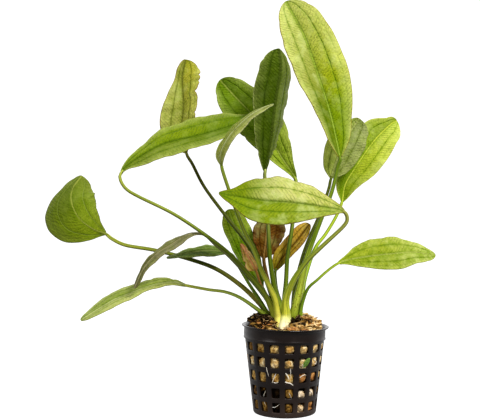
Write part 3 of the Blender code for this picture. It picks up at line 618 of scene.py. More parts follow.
def closed_rings(rings):
    """Points and faces of a surface through rings of points, capped at both ends."""
    count, steps = len(rings), len(rings[0])
    faces = grid_faces(count, steps, wrap=True).tolist()
    faces += [tuple(range(steps))[::-1], tuple(range((count - 1) * steps, count * steps))]
    return np.vstack(rings), faces


def piece(name, points, faces, look, uvs=None, merge=None, node=None, slot=None, flat=False):
    """A mesh object from points in millimetres, riding with the plant."""
    mesh = bpy.data.meshes.new(name)
    mesh.from_pydata((np.asarray(points) * MM).tolist(), [], [list(map(int, f)) for f in faces])
    for key, values in (uvs or {}).items():
        layer = mesh.uv_layers.new(name=key)
        loops = np.zeros(len(mesh.loops), dtype=np.int32)
        mesh.loops.foreach_get("vertex_index", loops)
        layer.data.foreach_set("uv", np.asarray(values, dtype=np.float32)[loops].ravel())
    if merge:
        shape = bmesh.new()
        shape.from_mesh(mesh)
        bmesh.ops.remove_doubles(shape, verts=shape.verts, dist=merge * MM)
        bmesh.ops.recalc_face_normals(shape, faces=shape.faces)
        shape.to_mesh(mesh)
        shape.free()
    mesh.materials.append(look)
    if flat:
        mesh.shade_flat()
    else:
        mesh.shade_smooth()
    obj = bpy.data.objects.new(name, mesh)
    bpy.context.scene.collection.objects.link(obj)
    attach(obj, "root")
    if node:
        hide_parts(node)
    return obj


def thicken(sheet, thickness):
    """Gives a sheet its thickness in millimetres, half of it to each side."""
    body = sheet.modifiers.new("Thickness", "SOLIDIFY")
    body.thickness = thickness * MM
    body.offset = 0
    graph = bpy.context.evaluated_depsgraph_get()
    mesh = bpy.data.meshes.new_from_object(sheet.evaluated_get(graph))
    sheet.modifiers.clear()
    sheet.data = mesh


def join(first, second):
    bpy.ops.object.select_all(action="DESELECT")
    for obj in (first, second):
        obj.select_set(True)
    bpy.context.view_layer.objects.active = first
    bpy.ops.object.join()


def unit(v):
    return v / np.maximum(np.linalg.norm(v, axis=-1, keepdims=True), 1e-9)


def smooth_line(places):
    """Points on one smooth curve through the places, and how far along each of them lies."""
    given = np.array(places, dtype=float)
    ends = np.vstack([2 * given[0] - given[1], given, 2 * given[-1] - given[-2]])
    u = (np.arange(SPAN_STEPS) / SPAN_STEPS)[:, None]
    spans = [
        0.5 * (2 * b + (c - a) * u + (2 * a - 5 * b + 4 * c - d) * u**2 + (3 * b - a - 3 * c + d) * u**3)
        for a, b, c, d in zip(ends, ends[1:], ends[2:], ends[3:])
    ]
    line = np.vstack([*spans, given[-1:]])
    return line, np.concatenate([[0], np.cumsum(np.linalg.norm(np.diff(line, axis=0), axis=1))])


def on_line(line, runs, run):
    return np.stack([np.interp(run, runs, line[:, axis]) for axis in range(3)], axis=-1)


def frame_on(line, runs, run):
    """Places on the line with the directions along it, to its right and towards the viewer."""
    run = np.asarray(run, dtype=float)
    along = unit(on_line(line, runs, np.minimum(run + DIRECTION_REACH, runs[-1]))
                 - on_line(line, runs, np.maximum(run - DIRECTION_REACH, 0)))
    right = unit(np.cross(along, (0, -1, 0)))
    return on_line(line, runs, run), along, right, np.cross(right, along)


def half_widths(middle_widths, share, roundness=TIP_ROUNDNESS):
    """Smooth half widths of a blade through its stations, with a rounded tip."""
    widths = np.array((BASE_HALF_WIDTH, *middle_widths, TIP_HALF_WIDTH))
    stations = np.array(STATIONS)
    slopes = np.gradient(widths, stations)
    i = np.clip(np.searchsorted(stations, share, side="right") - 1, 0, len(stations) - 2)
    span = stations[i + 1] - stations[i]
    u = (share - stations[i]) / span
    inner = ((2 * u**3 - 3 * u**2 + 1) * widths[i] + (u**3 - 2 * u**2 + u) * span * slopes[i]
             + (3 * u**2 - 2 * u**3) * widths[i + 1] + (u**3 - u**2) * span * slopes[i + 1])
    corner = np.maximum(1 - u**roundness, 0) ** (1 / roundness)
    tip = widths[i + 1] + (widths[i] - widths[i + 1]) * corner
    return np.where(i == len(stations) - 2, tip, inner)


def tube(line, runs, run, radii, sides, widen=None, phase=0.0):
    """A ribbed, tapering tube along a line, broadened to both sides, with closed ends and UV values."""
    here, _, right, front = frame_on(line, runs, run)
    angle = np.arange(sides) / sides * 2 * math.pi
    ring = np.cos(angle)[None, :, None] * right[:, None] + np.sin(angle)[None, :, None] * front[:, None]
    ribs = 1 + 0.05 * np.cos(3 * angle + phase) + 0.035 * np.cos(5 * angle + 2 * phase)
    size = radii[:, None] * ribs[None, :]
    if widen is not None:
        size = size * (1 + widen[:, None] * np.cos(angle)[None, :] ** 2)
    points = (here[:, None] + ring * size[..., None]).reshape(-1, 3)
    points = np.vstack([points, here[:1], here[-1:]])
    last = (len(here) - 1) * sides
    base = last + sides
    faces = grid_faces(len(here), sides, wrap=True).tolist()
    faces += [(base, (k + 1) % sides, k) for k in range(sides)]
    faces += [(base + 1, last + k, last + (k + 1) % sides) for k in range(sides)]
    share = (run - run[0]) / (run[-1] - run[0])
    leaf_uv = grid_pairs(angle[None, :] / (2 * math.pi), share[:, None])
    mm_uv = grid_pairs(angle[None, :] * radii[:, None], run[:, None])
    leaf_uv = np.vstack([leaf_uv, (0.5, 0), (0.5, 1)])
    mm_uv = np.vstack([mm_uv, (0, run[0]), (0, run[-1])])
    return points, faces, leaf_uv, mm_uv


def notch(share, side, marks):
    """Share of the half width that torn or bitten places take from the margin."""
    cut = np.zeros_like(share)
    for where, which, depth, reach in marks:
        if which == side:
            cut = cut + depth * np.exp(-((share - where) / reach) ** 2)
    return cut


def blade_points(leaf, line, runs, start, share, side, arch, marks=(), seed=0):
    """Places on a blade for shares of its length and sides from -1 to 1, with millimetres across."""
    here, _, right, front = frame_on(line, runs, start + share * (runs[-1] - start))
    right, front = right[:, None], front[:, None]
    height, count = leaf["wave"]
    turns = 2 * math.pi * share[:, None]
    swell = np.sin(math.pi * share)[:, None]
    points = np.zeros((len(share), len(side), 3))
    across = np.zeros((len(share), len(side)))
    for which, sign in (("left", -1), ("right", 1)):
        chosen = np.where(side * sign >= 0)[0]
        chosen = chosen[np.argsort(np.abs(side[chosen]))]
        steps = np.abs(side[chosen])

        # Each half leans from the midrib on and bulges between midrib and margin
        at_base, at_tip = leaf["lean_" + which]
        lean = np.radians(at_base + (at_tip - at_base) * share)[:, None]
        bend = np.radians(arch) * swell
        angle = lean * np.tanh(steps / LEAN_START)[None, :] + bend * (1 - 2 * steps)[None, :]
        cosine, sine = np.cos(angle)[..., None], np.sin(angle)[..., None]
        outward = sign * right * cosine + front * sine
        upward = front * cosine - sign * right * sine
        wide = half_widths(leaf[which], share, leaf.get("end", TIP_ROUNDNESS))
        wide = wide * (1 - notch(share, which, marks))
        gaps = np.diff(steps, prepend=0)
        middles = outward.copy()
        middles[:, 1:] = (outward[:, 1:] + outward[:, :-1]) / 2
        reach = np.cumsum(middles * gaps[None, :, None], axis=1) * wide[:, None, None]

        # The margin ripples in two sizes of waves, and the side veins lie in shallow valleys
        ripple = height * steps**2 * swell * np.sin(count * turns + RIPPLE_OFFSET * sign)
        ripple = ripple + 0.3 * height * steps**3 * swell * np.sin(2.7 * count * turns + seed + 2.1 * sign)
        valleys = (np.exp(-((steps - 0.5) / 0.06) ** 2)
                   + 0.6 * np.exp(-((steps - 0.8) / 0.05) ** 2))
        lift = ripple - VEIN_DEPTH * swell * valleys * np.minimum(wide / 8, 1)[:, None]
        points[:, chosen] = here[:, None] + reach + upward * lift[..., None]
        across[:, chosen] = sign * steps[None, :] * wide[:, None]
    return points, across


def build_leaf(index, name, leaf, tones):
    """A blade with its midrib, and its stalk from the crown, along one line."""
    tones = dict(tones)
    rows, columns = tones.pop("rows"), tones.pop("columns")
    underside = tones.pop("underside", False)
    x, y, _ = leaf["stalk"][0]
    below = (0.3 * (CROWN_CENTRE[0] - PLANT_SHIFT) + 0.7 * x, 0.3 * CROWN_CENTRE[1] + 0.7 * y, STALK_FOOT)
    places = np.array([ROOTS.get(name, below), *leaf["stalk"], *leaf["rib"]]) + (PLANT_SHIFT, 0, 0)
    line, runs = smooth_line(places)
    start = runs[SPAN_STEPS * (len(leaf["stalk"]) + 1)]
    length = runs[-1] - start
    at_crown, at_blade = leaf["thick"]
    along_noise = PATTERN_STEP * index

    # Blade, curved in cross-section and closed round a thin body, with finer rows at both ends
    even = np.linspace(0, 1, rows)
    share = even * 0.6 + (1 - np.cos(math.pi * even)) * 0.2
    side = np.linspace(-1, 1, columns + 1)
    side = np.sign(side) * np.abs(side) ** 1.1
    points, across = blade_points(leaf, line, runs, start, share, side, ARCHES.get(name, USUAL_ARCH),
                                  NOTCHES.get(name, ()), seed=index)
    look = leaf_look(name, **tones)
    uvs = {"leaf": grid_pairs((side[None, :] + 1) / 2, share[:, None]),
           "millimetres": grid_pairs(across, (share * length)[:, None]) + (0, along_noise)}
    blade = piece("blade_" + name, points.reshape(-1, 3), grid_faces(rows, columns + 1), look, uvs,
                  node="leaf_" + name)
    thicken(blade, BLADE_THICKNESS)

    # Midrib: the stalk carries on behind the blade, or before an underside, and thins to the tip.
    # It takes its tone from the middle of the blade, a fifth of a millimetre beside its line.
    run = np.linspace(start - 1.5, start + 0.95 * length, 60)
    fade = (run - run[0]) / (run[-1] - run[0])
    radii = at_blade * (0.95 - 0.78 * fade**0.8)
    back = -1
    if underside:
        radii *= 0.35 + 0.5 * (1 - fade) ** 5
        back = 1
    points, faces, values, mm_values = tube(line, runs, run, radii, MIDRIB_SIDES)
    sunk = frame_on(line, runs, run)[3] * (0.7 * back * radii)[:, None]
    points += np.vstack([np.repeat(sunk, MIDRIB_SIDES, axis=0), sunk[:1], sunk[-1:]])
    uvs = {"leaf": grid_pairs(0.5, values[:, 1] * 0.95), "millimetres": grid_pairs(0.2, mm_values[:, 1])}
    join(blade, piece("midrib_" + name, points, faces, look, uvs, node="leaf_" + name))

    # Stalk: from inside the crown to just past the blade's base
    crown_run = runs[SPAN_STEPS]
    low_end = crown_run + 14
    run = np.concatenate([np.linspace(0, low_end, 22)[:-1], np.linspace(low_end, start + 1.2, 54)])
    rise = np.clip((run - crown_run) / (start - crown_run), 0, 1)
    radii = at_blade + (at_crown - at_blade) * (1 - rise) ** STALK_TAPER
    radii[-3:] *= (0.97, 0.85, 0.55)
    most, reach = SHEATHS.get(name, USUAL_SHEATH)
    widen = most * np.exp(-np.clip(run - 0.6 * crown_run, 0, None) / reach)
    points, faces, values, mm_values = tube(line, runs, run, radii, STALK_SIDES, widen=widen, phase=index)
    piece("stalk_" + name, points, faces, stalk_look(name, STALK_TONES[name]),
          {"leaf": values, "millimetres": mm_values + (0, along_noise)}, node="stem_" + name)


# Degrees by which a blade bulges between midrib and margin
USUAL_ARCH = 14
ARCHES = {"big_front": 22, "round_far_left": 20, "tall_right": 16, "small_left": 20,
          "narrow_drooping": 18, "lowest_left": 20, "folded_front": 20}

# Torn or bitten places: share of the length, half, depth as a share of the half width, reach.
# A depth below zero stands out.
NOTCHES = {
    "olive_back": ((0.42, "right", 0.10, 0.012), (0.55, "right", -0.06, 0.03),
                   (0.61, "right", 0.12, 0.012), (0.72, "right", 0.10, 0.012),
                   (0.8, "right", 0.08, 0.014)),
    "round_far_left": ((0.3, "right", 0.03, 0.01), (0.44, "right", 0.025, 0.01)),
    "lowest_left": ((0.12, "right", 0.25, 0.02), (0.2, "left", 0.15, 0.02), (0.3, "right", 0.12, 0.02)),
    "dark_upright": ((0.1, "right", 0.14, 0.015), (0.17, "right", 0.16, 0.014),
                     (0.25, "right", 0.12, 0.014), (0.36, "right", 0.08, 0.014),
                     (0.14, "left", 0.08, 0.015), (0.26, "left", 0.06, 0.015)),
    "behind_upright": ((0.3, "right", 0.06, 0.02), (0.5, "left", 0.05, 0.02)),
    "withered": ((0.4, "left", 0.3, 0.05), (0.7, "right", 0.3, 0.06)),
    "brown_middle": ((0.5, "right", 0.06, 0.03), (0.75, "left", 0.08, 0.03)),
}

# How far a stalk broadens into a sheath at its foot, and the millimetres over which this fades
USUAL_SHEATH = (0.2, 8)
SHEATHS = {"big_front": (1.0, 5.0), "folded_front": (0.35, 16), "tall_right": (0.45, 26),
           "long_left": (0.3, 16), "dark_upright": (0.3, 20), "broad_right": (0.4, 12)}

# Where a stalk starts inside the crown, if not below its own foot
ROOTS = {"big_front": (-2.2, -10.8, 45.5), "folded_front": (-4.6, -12.2, 45.5)}


def body_radius(height):
    return BASE_RADIUS + (BODY_TOP_RADIUS - BASE_RADIUS) * height / COLLAR_BOTTOM


def polar(radius, angle, height):
    return np.stack(np.broadcast_arrays(radius * np.cos(angle), radius * np.sin(angle), height), -1)


def column_angle(column):
    return 2 * math.pi * column / WINDOW_COLUMNS - math.pi / 2 + math.radians(FRONT_COLUMN_TURN)


def window_outline(half_angle, half_height, corner, per_mm):
    """Rounded window, 8 points to a side from the lower right corner on, as angles and heights."""
    corners = ((1, -1), (1, 1), (-1, 1), (-1, -1))
    turns = np.radians((45, 67.5, 90))
    wide, tall = half_angle - corner * per_mm, half_height - corner
    points = []
    for quarter in range(4):

        def rounded(signs, turn):
            a, b = math.sin(turn), math.cos(turn)
            if quarter % 2:
                a, b = b, a
            return signs[0] * (wide + corner * per_mm * a), signs[1] * (tall + corner * b)

        arc = [rounded(corners[quarter], turn) for turn in turns]
        ahead = [rounded(corners[(quarter + 1) % 4], turn) for turn in turns[::-1][:2]]
        first, last = np.array(arc[-1]), np.array(ahead[0])
        points += arc + [tuple(first + (last - first) * k / 4) for k in (1, 2, 3)] + ahead
    return np.array(points)


def build_pot(look):
    """The moulding: a lattice of windows between turned collar, lip and base, with two mould seams."""
    tops = np.array(WINDOW_TOP_EDGES)
    bottoms = tops - np.array(WINDOW_HEIGHTS)
    bands = [COLLAR_BOTTOM, *((bottoms[:-1] + tops[1:]) / 2), BASE_THICKNESS]
    pitch = 2 * math.pi / WINDOW_COLUMNS
    share = WINDOW_SHARE * pitch / 2
    points, faces = [], []
    count = 0

    # Steps from the outer face through a window to the inner face: growth of its outline, depth
    rims = [(EDGE_ROUNDING, 0), (0.3 * EDGE_ROUNDING, 0.3 * EDGE_ROUNDING), (0, EDGE_ROUNDING)]
    rims += [(grow, WALL - depth) for grow, depth in rims[::-1]]
    for column in range(WINDOW_COLUMNS):
        for row, (top, low) in enumerate(zip(tops, bottoms)):
            middle, half = (top + low) / 2, (top - low) / 2
            per_mm = 1 / body_radius(middle)
            upper, lower = bands[row] - middle, bands[row + 1] - middle
            corners = [(pitch / 2, lower), (pitch / 2, upper), (-pitch / 2, upper), (-pitch / 2, lower)]
            cell = np.array([
                np.array(a) + (np.array(b) - np.array(a)) * k / SIDE_STEPS
                for a, b in zip(corners, corners[1:] + corners[:1]) for k in range(SIDE_STEPS)
            ])
            loops = [(cell, 0)]
            for grow, depth in rims:
                outline = window_outline(share + grow * per_mm, half + grow, WINDOW_CORNER + grow, per_mm)
                loops.append((outline, depth))
            loops.append((cell, WALL))
            for outline, depth in loops:
                turn, height = column_angle(column) + outline[:, 0], middle + outline[:, 1]
                points.append(polar(body_radius(height) - depth, turn, height))
            faces.append(grid_faces(len(loops), len(cell), wrap=True, first=count))
            count += len(loops) * len(cell)

    # Lip, collar and base are turned, with as many steps round as the lattice has
    steps = WINDOW_COLUMNS * SIDE_STEPS
    angles = column_angle(-0.5) + np.arange(steps) / steps * 2 * math.pi
    top_out, low = body_radius(COLLAR_BOTTOM), BASE_THICKNESS
    collar = ((top_out - WALL, COLLAR_BOTTOM), (top_out - WALL + 0.15, 45), (22.9, 46.6), (23.1, 49.2),
              (23.7, 50.6), (24.3, 51.05), (24.9, RIM_HEIGHT), (25.5, RIM_HEIGHT), (25.8, 51.05),
              (RIM_RADIUS, 50.8), (25.8, 50.45), (25.4, 50.25), (24.9, 50.05), (24.45, 49.6),
              (24.25, 48.8), (24.2, 46.5), (24.15, 44.6), (24.3, 44.25), (24.36, 43.95), (24.25, 43.65),
              (24.0, 43.55), (top_out + 0.1, 43.55), (top_out, COLLAR_BOTTOM))
    base = ((body_radius(low), low), (body_radius(0.9), 0.9), (18.45, 0.45), (18.25, 0.15), (17.8, 0.0),
            (12.2, 0.0), (12.0, 0.3), (10.8, 0.3), (10.6, 0.0), (2.2, 0.0), (2.0, 0.4), (0.05, 0.4),
            (0.05, low), (body_radius(low) - WALL - 1.2, low), (body_radius(low) - WALL, low))
    for profile in (collar, base):
        profile = np.array(profile)
        points.append(polar(profile[:, :1], angles[None, :], profile[:, 1:]).reshape(-1, 3))
        faces.append(grid_faces(len(profile), steps, wrap=True, first=count)[:, ::-1])
        count += len(profile) * steps
    points = np.vstack([p.reshape(-1, 3) for p in points])

    # Mould seams: a fine raised line on two opposite ribs, up to the rim
    turn = np.arctan2(points[:, 1], points[:, 0])
    for column in SEAM_COLUMNS:
        off = np.abs((turn - column_angle(column) + math.pi) % (2 * math.pi) - math.pi)
        radius = np.hypot(points[:, 0], points[:, 1])
        outer = radius > body_radius(points[:, 2]) - 0.1
        rise = np.where(outer & (off < 0.01), SEAM_HEIGHT, 0.0)
        points[:, :2] *= (1 + rise / np.maximum(radius, 1))[:, None]

    # The moulding droops to the right, and its lip is warped a little that way
    points[:, 2] -= RIM_TILT * points[:, 0] * np.clip(points[:, 2] / RIM_HEIGHT, 0, 1) ** 1.5
    points[:, 0] += RIM_SHIFT * np.clip((points[:, 2] - 48.5) / 2, 0, 1)
    piece("net_pot_moulding", points, np.vstack(faces), look, merge=0.005, node="net_pot")


def mound_height(x, y):
    slope = np.where(y < 0, FRONT_FALL, BACK_RISE)
    return np.interp(np.hypot(x, y), MOUND_RADII, MOUND_HEIGHTS) + slope * y - RIGHT_FALL * x


def lump_shape():
    """Points and faces of a round lump."""
    shape = bmesh.new()
    bmesh.ops.create_icosphere(shape, subdivisions=2, radius=1)
    points = np.array([v.co for v in shape.verts])
    faces = np.array([[v.index for v in f.verts] for f in shape.faces])
    shape.free()
    return points, faces


def scattered(rng, spots):
    """Many uneven lumps from (place, sizes, roughness, lying flat or not) spots, as one mesh."""
    shape, faces = lump_shape()
    points, all_faces = [], []
    for k, (place, sizes, rough, lying) in enumerate(spots):
        waves = rng.normal(size=(4, 3)) * 2.2
        phases = rng.uniform(0, 2 * math.pi, 4)
        swell = 1 + rough * np.sin(shape @ waves.T + phases).mean(1)
        turn, _ = np.linalg.qr(rng.normal(size=(3, 3)))
        if lying:
            turn = np.array(Euler((*rng.normal(0, 0.22, 2), rng.uniform(0, 2 * math.pi))).to_matrix())
        points.append((shape * swell[:, None] * np.array(sizes)) @ turn.T + np.array(place))
        all_faces.append(faces + k * len(shape))
    return np.vstack(points), np.vstack(all_faces)


def strands(routes, sides=6):
    """Thin tubes through (places, radius) routes, as one mesh."""
    points, faces, count = [], [], 0
    for places, radius in routes:
        line, runs = smooth_line(places)
        run = np.linspace(0, runs[-1], 4 * len(places))
        taper = radius * (1 - 0.55 * (run / runs[-1]) ** 2)
        more, quads, *_ = tube(line, runs, run, taper, sides)
        points.append(more)
        faces += [tuple(i + count for i in face) for face in quads]
        count += len(more)
    return np.vstack(points), faces


def by_chance(chance, shares):
    """The first tone whose limit lies above the chance."""
    return next(tone for limit, tone in shares if chance < limit)


# What shows through each window of the front: columns from left to right, rows from the top
# Pale is painted light for the lit upper windows, dark is painted shade in hollows
WINDOW_FILL = {
    -3: "brown pale tan brown brown", -2: "tan pale tan dark brown", -1: "tan pale tan dark dark",
    0: "pale pale tan brown brown", 1: "pale pale orange cream cream", 2: "pale pale orange cream orange",
    3: "pale pale tan brown dark",
}

# Behind the other windows: the limit below which chance gives a tone, in the upper three rows
# and in the two lower ones, which get more near-black chips as painted shade, then the tones that the
# smaller chips draw from
UPPER_CHIPS = ((0.55, "tan"), (0.7, "orange"), (math.inf, "brown"))
LOWER_CHIPS = ((0.4, "dark"), (0.75, "brown"), (0.88, "cream"), (math.inf, "tan"))
UPPER_FILLERS = ("tan", "brown", "orange", "brown")
LOWER_FILLERS = ("dark", "brown", "dark", "orange")

# Over the mound, where pale chips lie on the right only
MOUND_CHIPS = ((0.55, "tan"), (0.64, "orange"), (1.02, "brown"), (math.inf, "dark"))

# How far behind the wall a window's chip has its middle, and that of a near-black chip, painted shade in a
# hollow
CHIP_DEPTH = 1.3
HOLLOW_DEPTH = 3.4

# What is kept of a root's weave and of its radius, and how far before the wall it runs
ROOT_WEAVE = 0.3
ROOT_THINNING = 0.8
ROOT_CLEARANCE = 0.15

# Roots that cross the windows: degrees right of the front, height, how far out it weaves, then radius
WINDOW_ROOTS = (
    (((-31.5, 29.4, -1.0), (-30.6, 28.4, 0.3), (-28.6, 25.6, 0.5), (-27.6, 24.0, -0.8)), 0.17),
    (((-3.0, 27.0, -2.0), (0.6, 25.6, -1.2), (3.4, 23.4, -1.5), (5.0, 22.4, -2.4)), 0.5),
    (((5.6, 29.2, -1.4), (5.9, 27.4, 0.2), (6.2, 25.6, 0.1), (6.0, 23.0, -1.8)), 0.18),
    (((-2.2, 21.4, -1.8), (1.5, 21.0, -1.0), (6.0, 20.6, -0.6), (10.2, 19.4, -0.9),
      (12.5, 17.9, -2.2)), 0.36),
    (((-23.0, 20.6, -2.0), (-21.4, 22.2, -1.1), (-18.4, 24.6, -1.0), (-16.2, 26.4, -2.0)), 0.3),
    (((-20.4, 20.9, -1.2), (-17.0, 20.7, -0.8), (-13.0, 21.2, -1.3)), 0.28),
    (((21.4, 23.6, -1.6), (25.0, 24.6, -0.8), (30.4, 25.1, -1.2), (33.0, 24.4, -2.2)), 0.32),
    (((-40.6, 12.2, -1.4), (-38.6, 13.6, -0.6), (-36.2, 15.2, -1.0)), 0.22),
    (((-40.4, 8.9, -1.5), (-38.6, 8.0, -0.8), (-36.8, 7.2, -1.3)), 0.16),
    (((-24.6, 6.3, -1.2), (-20.0, 6.5, -0.5), (-15.6, 7.3, -0.7), (-12.6, 8.4, -1.8)), 0.17),
    (((47.0, 33.2, -1.4), (50.8, 32.2, -0.7), (54.4, 30.0, -1.2)), 0.26),
    (((48.2, 31.0, -1.2), (51.6, 30.4, -0.8), (54.8, 31.8, -1.4)), 0.2),
    (((24.8, 31.4, -1.5), (26.0, 29.8, -0.8), (28.6, 28.4, -1.2)), 0.2),
    (((47.6, 14.4, -1.3), (50.2, 13.0, -0.7), (51.4, 11.2, -1.4)), 0.25),
    (((3.6, 15.4, -1.8), (6.4, 13.4, -1.0), (8.6, 11.4, -1.8)), 0.14),
)

# Three tones of each kind of chip, then that of its pits
CHIP_TONES = {
    "tan": (("#8c6024", "#cea456", "#ecce8c"), "#5c3a14"),
    # pale: a lighter copy of tan, painted light for the lit window fronts and the right of the mound
    "pale": (("#b88c48", "#eeca84", "#fceabc"), "#8e6634"),
    "orange": (("#8a5020", "#c08548", "#dba867"), "#4c2a10"),
    "brown": (("#3c2810", "#74501e", "#a07a38"), "#1c1208"),
    # dark: near-black, painted shade for hollows, the plug and the gaps among the stalks
    "dark": (("#120c08", "#1e140c", "#3a2814"), "#0a0705"),
    "cream": (("#c8a06c", "#ead0a4", "#f6e6cc"), "#7c5428"),
}


def painted_shade(x, y):
    """Painted shade: how strongly the chips among the stalks and on both sides of the sheath in front are
    drawn to darker tones.
    """
    near = np.clip((13.0 - np.hypot(x - CROWN_CENTRE[0], y - CROWN_CENTRE[1])) / 4, 0, 0.7)
    right = 1.3 * np.exp(-((x - 7) / 4) ** 2 - ((y + 8) / 4.4) ** 2)
    left = 1.1 * np.exp(-((x + 11) / 5) ** 2 - ((y + 7.5) / 4.6) ** 2)
    return near + right + left


def wall_depth(points):
    """How far inside the pot's outer face the medium ends: little in a window, and behind the ribs else."""
    pitch = 2 * math.pi / WINDOW_COLUMNS
    turn = np.arctan2(points[:, 1], points[:, 0]) - column_angle(0)
    beside = WINDOW_SHARE * pitch / 2 - np.abs((turn + pitch / 2) % pitch - pitch / 2)
    halves = np.array(WINDOW_HEIGHTS) / 2
    middles = np.array(WINDOW_TOP_EDGES) - halves
    within = np.max(halves - np.abs(points[:, 2:] - middles), axis=1)
    within = np.minimum(within, beside * body_radius(points[:, 2]))
    return np.interp(within, (0.2, 0.7), (WALL + 0.25, 0.25))


def before_sheath(x, y):
    """From 1 right before the foot of the sheath in front to 0 away from it."""
    return np.exp(-((x + 2.2) / 5.2) ** 2 - ((y + 14) / 4.5) ** 2)


def ground(x, y):
    """Height of the medium's own surface: heaped on both sides of the front sheath, sunk before it."""
    x, y = np.asarray(x), np.asarray(y)
    heaps = (1.9 * np.exp(-((x - 8.5) / 4) ** 2 - ((y + 5.5) / 3) ** 2)
             + 2.2 * np.exp(-((x + 13.5) / 4.5) ** 2 - ((y + 6.5) / 3.5) ** 2))
    return mound_height(x, y) - 1.1 + heaps - 3.4 * before_sheath(x, y)


def build_medium(looks):
    """The plug behind the windows, chips in the windows and over the mound, and loose fibres."""
    rng = np.random.default_rng(11)

    # Plug that fills the pot behind the chips, closed below, with an uneven top, near-black as painted
    # shade in the gaps between them
    turns = np.arange(PLUG_STEPS) / PLUG_STEPS * 2 * math.pi
    profile = [(0.3, 2.2), (body_radius(2.2) - 4.0, 2.2)]
    profile += [(body_radius(z) - 4.4, z) for z in (12, 24, 36, 44)] + [(20.6, 48.6), (21.6, 50.0)]
    rings = [polar(r, turns, z) for r, z in profile]
    for r in (20.8, 19.4, 17.6, 15.6, 13.4, 11.0, 8.4, 5.6, 2.8, 0.3):
        x, y = r * np.cos(turns), r * np.sin(turns)
        rough = 0.5 * np.sin(x * 1.3 + y * 0.7) * np.sin(y * 1.7 - x * 0.4)
        rings.append(np.stack([x, y, np.maximum(ground(x, y) + rough - 0.4, 49.8)], -1))
    piece("medium_plug", *closed_rings(rings), looks["dark"], node="growing_medium")

    # One large chip behind each window, and smaller ones round it
    spots = {tone: [] for tone in CHIP_TONES}
    front = {k: row.split() for k, row in WINDOW_FILL.items()}
    for column in range(-8, 8):
        for row, (top, height) in enumerate(zip(WINDOW_TOP_EDGES, WINDOW_HEIGHTS)):
            upper = row < 3
            tone = by_chance(rng.random(), UPPER_CHIPS if upper else LOWER_CHIPS)
            if column in front:
                tone = front[column][row]
            angle = column_angle(column) + rng.normal(0, 0.02)
            z = top - height / 2 + rng.normal(0, 0.4)
            size = rng.uniform(3.5, 4.3) * {"dark": 0.65, "cream": 0.8}.get(tone, 1)
            z -= 1.3 if tone == "cream" else 0
            radius = body_radius(z) - WALL - (HOLLOW_DEPTH if tone == "dark" else CHIP_DEPTH)
            spots[tone].append((polar(radius, angle, z), size * rng.uniform(0.85, 1.15, 3), 0.28, False))
            for _ in range(3):
                other = (UPPER_FILLERS if upper else LOWER_FILLERS)[rng.integers(4)]
                a = angle + rng.uniform(-0.17, 0.17)
                h = z + rng.uniform(-3.6, 3.6)
                spots[other].append((polar(body_radius(h) - WALL - rng.uniform(2.6, 3.6), a, h),
                                     rng.uniform(0.9, 2.0) * rng.uniform(0.6, 1.3, 3), 0.35, False))

    # Chips that lie over the mound: golden in front, paler on the right and darker on the left as painted
    # light and shade, and near-black as painted shade in hollows by the stalks
    for _ in range(MOUND_CHIP_COUNT):
        r, a = 22.0 * math.sqrt(rng.random()), rng.uniform(0, 2 * math.pi)
        x, y = r * math.cos(a), r * math.sin(a)
        if math.hypot(x - CROWN_CENTRE[0], y - CROWN_CENTRE[1]) < 8 or before_sheath(x, y) > 0.3:
            continue
        # Painted light and shade: chance shifts towards paler tones on the right, darker ones on the left
        # and among the stalks; the front is also drawn lighter
        painted_light = -0.25 if x < -9 else 0.1 if x > 9 else 0.3 if y < -11 else 0
        chance = rng.random() - painted_light + float(painted_shade(x, y))
        tone = "pale" if chance < 0.5 and x > 6 else by_chance(chance, MOUND_CHIPS)
        size = 1.25 if y < -11 else 1
        sizes = (size * rng.uniform(1.3, 4.0), size * rng.uniform(0.7, 1.6), rng.uniform(0.35, 0.75))
        z = float(ground(x, y)) + rng.uniform(0.0, 0.9)
        spots[tone].append(((x, y, z), sizes, 0.45, True))
    for tone, places in spots.items():
        points, faces = scattered(rng, places)
        limit = np.where(points[:, 2] < COLLAR_BOTTOM, body_radius(points[:, 2]) - wall_depth(points), 22.4)
        far = np.hypot(points[:, 0], points[:, 1])
        points[:, :2] *= np.minimum(1, limit / np.maximum(far, 0.1))[:, None]
        points[:, 2] = np.clip(points[:, 2], 2.0, None)
        piece("chips_" + tone, points, faces, looks[tone], slot="growing_medium", flat=tone != "dark")

    # Loose fibres on the mound
    routes = []
    for _ in range(FIBRE_COUNT):
        r, a = rng.uniform(9.5, 22.3), rng.uniform(0, 2 * math.pi)
        heading, length = rng.uniform(0, 2 * math.pi), rng.uniform(3, 9)
        places = []
        for k in range(4):
            x = r * math.cos(a) + (k / 3 - 0.5) * length * math.cos(heading) + rng.normal(0, 0.4)
            y = r * math.sin(a) + (k / 3 - 0.5) * length * math.sin(heading) + rng.normal(0, 0.4)
            far = math.hypot(x, y)
            if far > 22.2:
                x, y = x * 22.2 / far, y * 22.2 / far
            places.append((x, y, float(ground(x, y)) + rng.uniform(0.5, 1.5)))
        routes.append((places, rng.uniform(0.08, 0.2)))
    for tone, part, codes in (("pale", routes[::2], ("#b98d4c", "#e2c68c")),
                              ("brown", routes[1::2], ("#4c3214", "#8a6430"))):
        piece("fibres_" + tone, *strands(part), root_look("fibres " + tone, codes), slot="growing_medium")


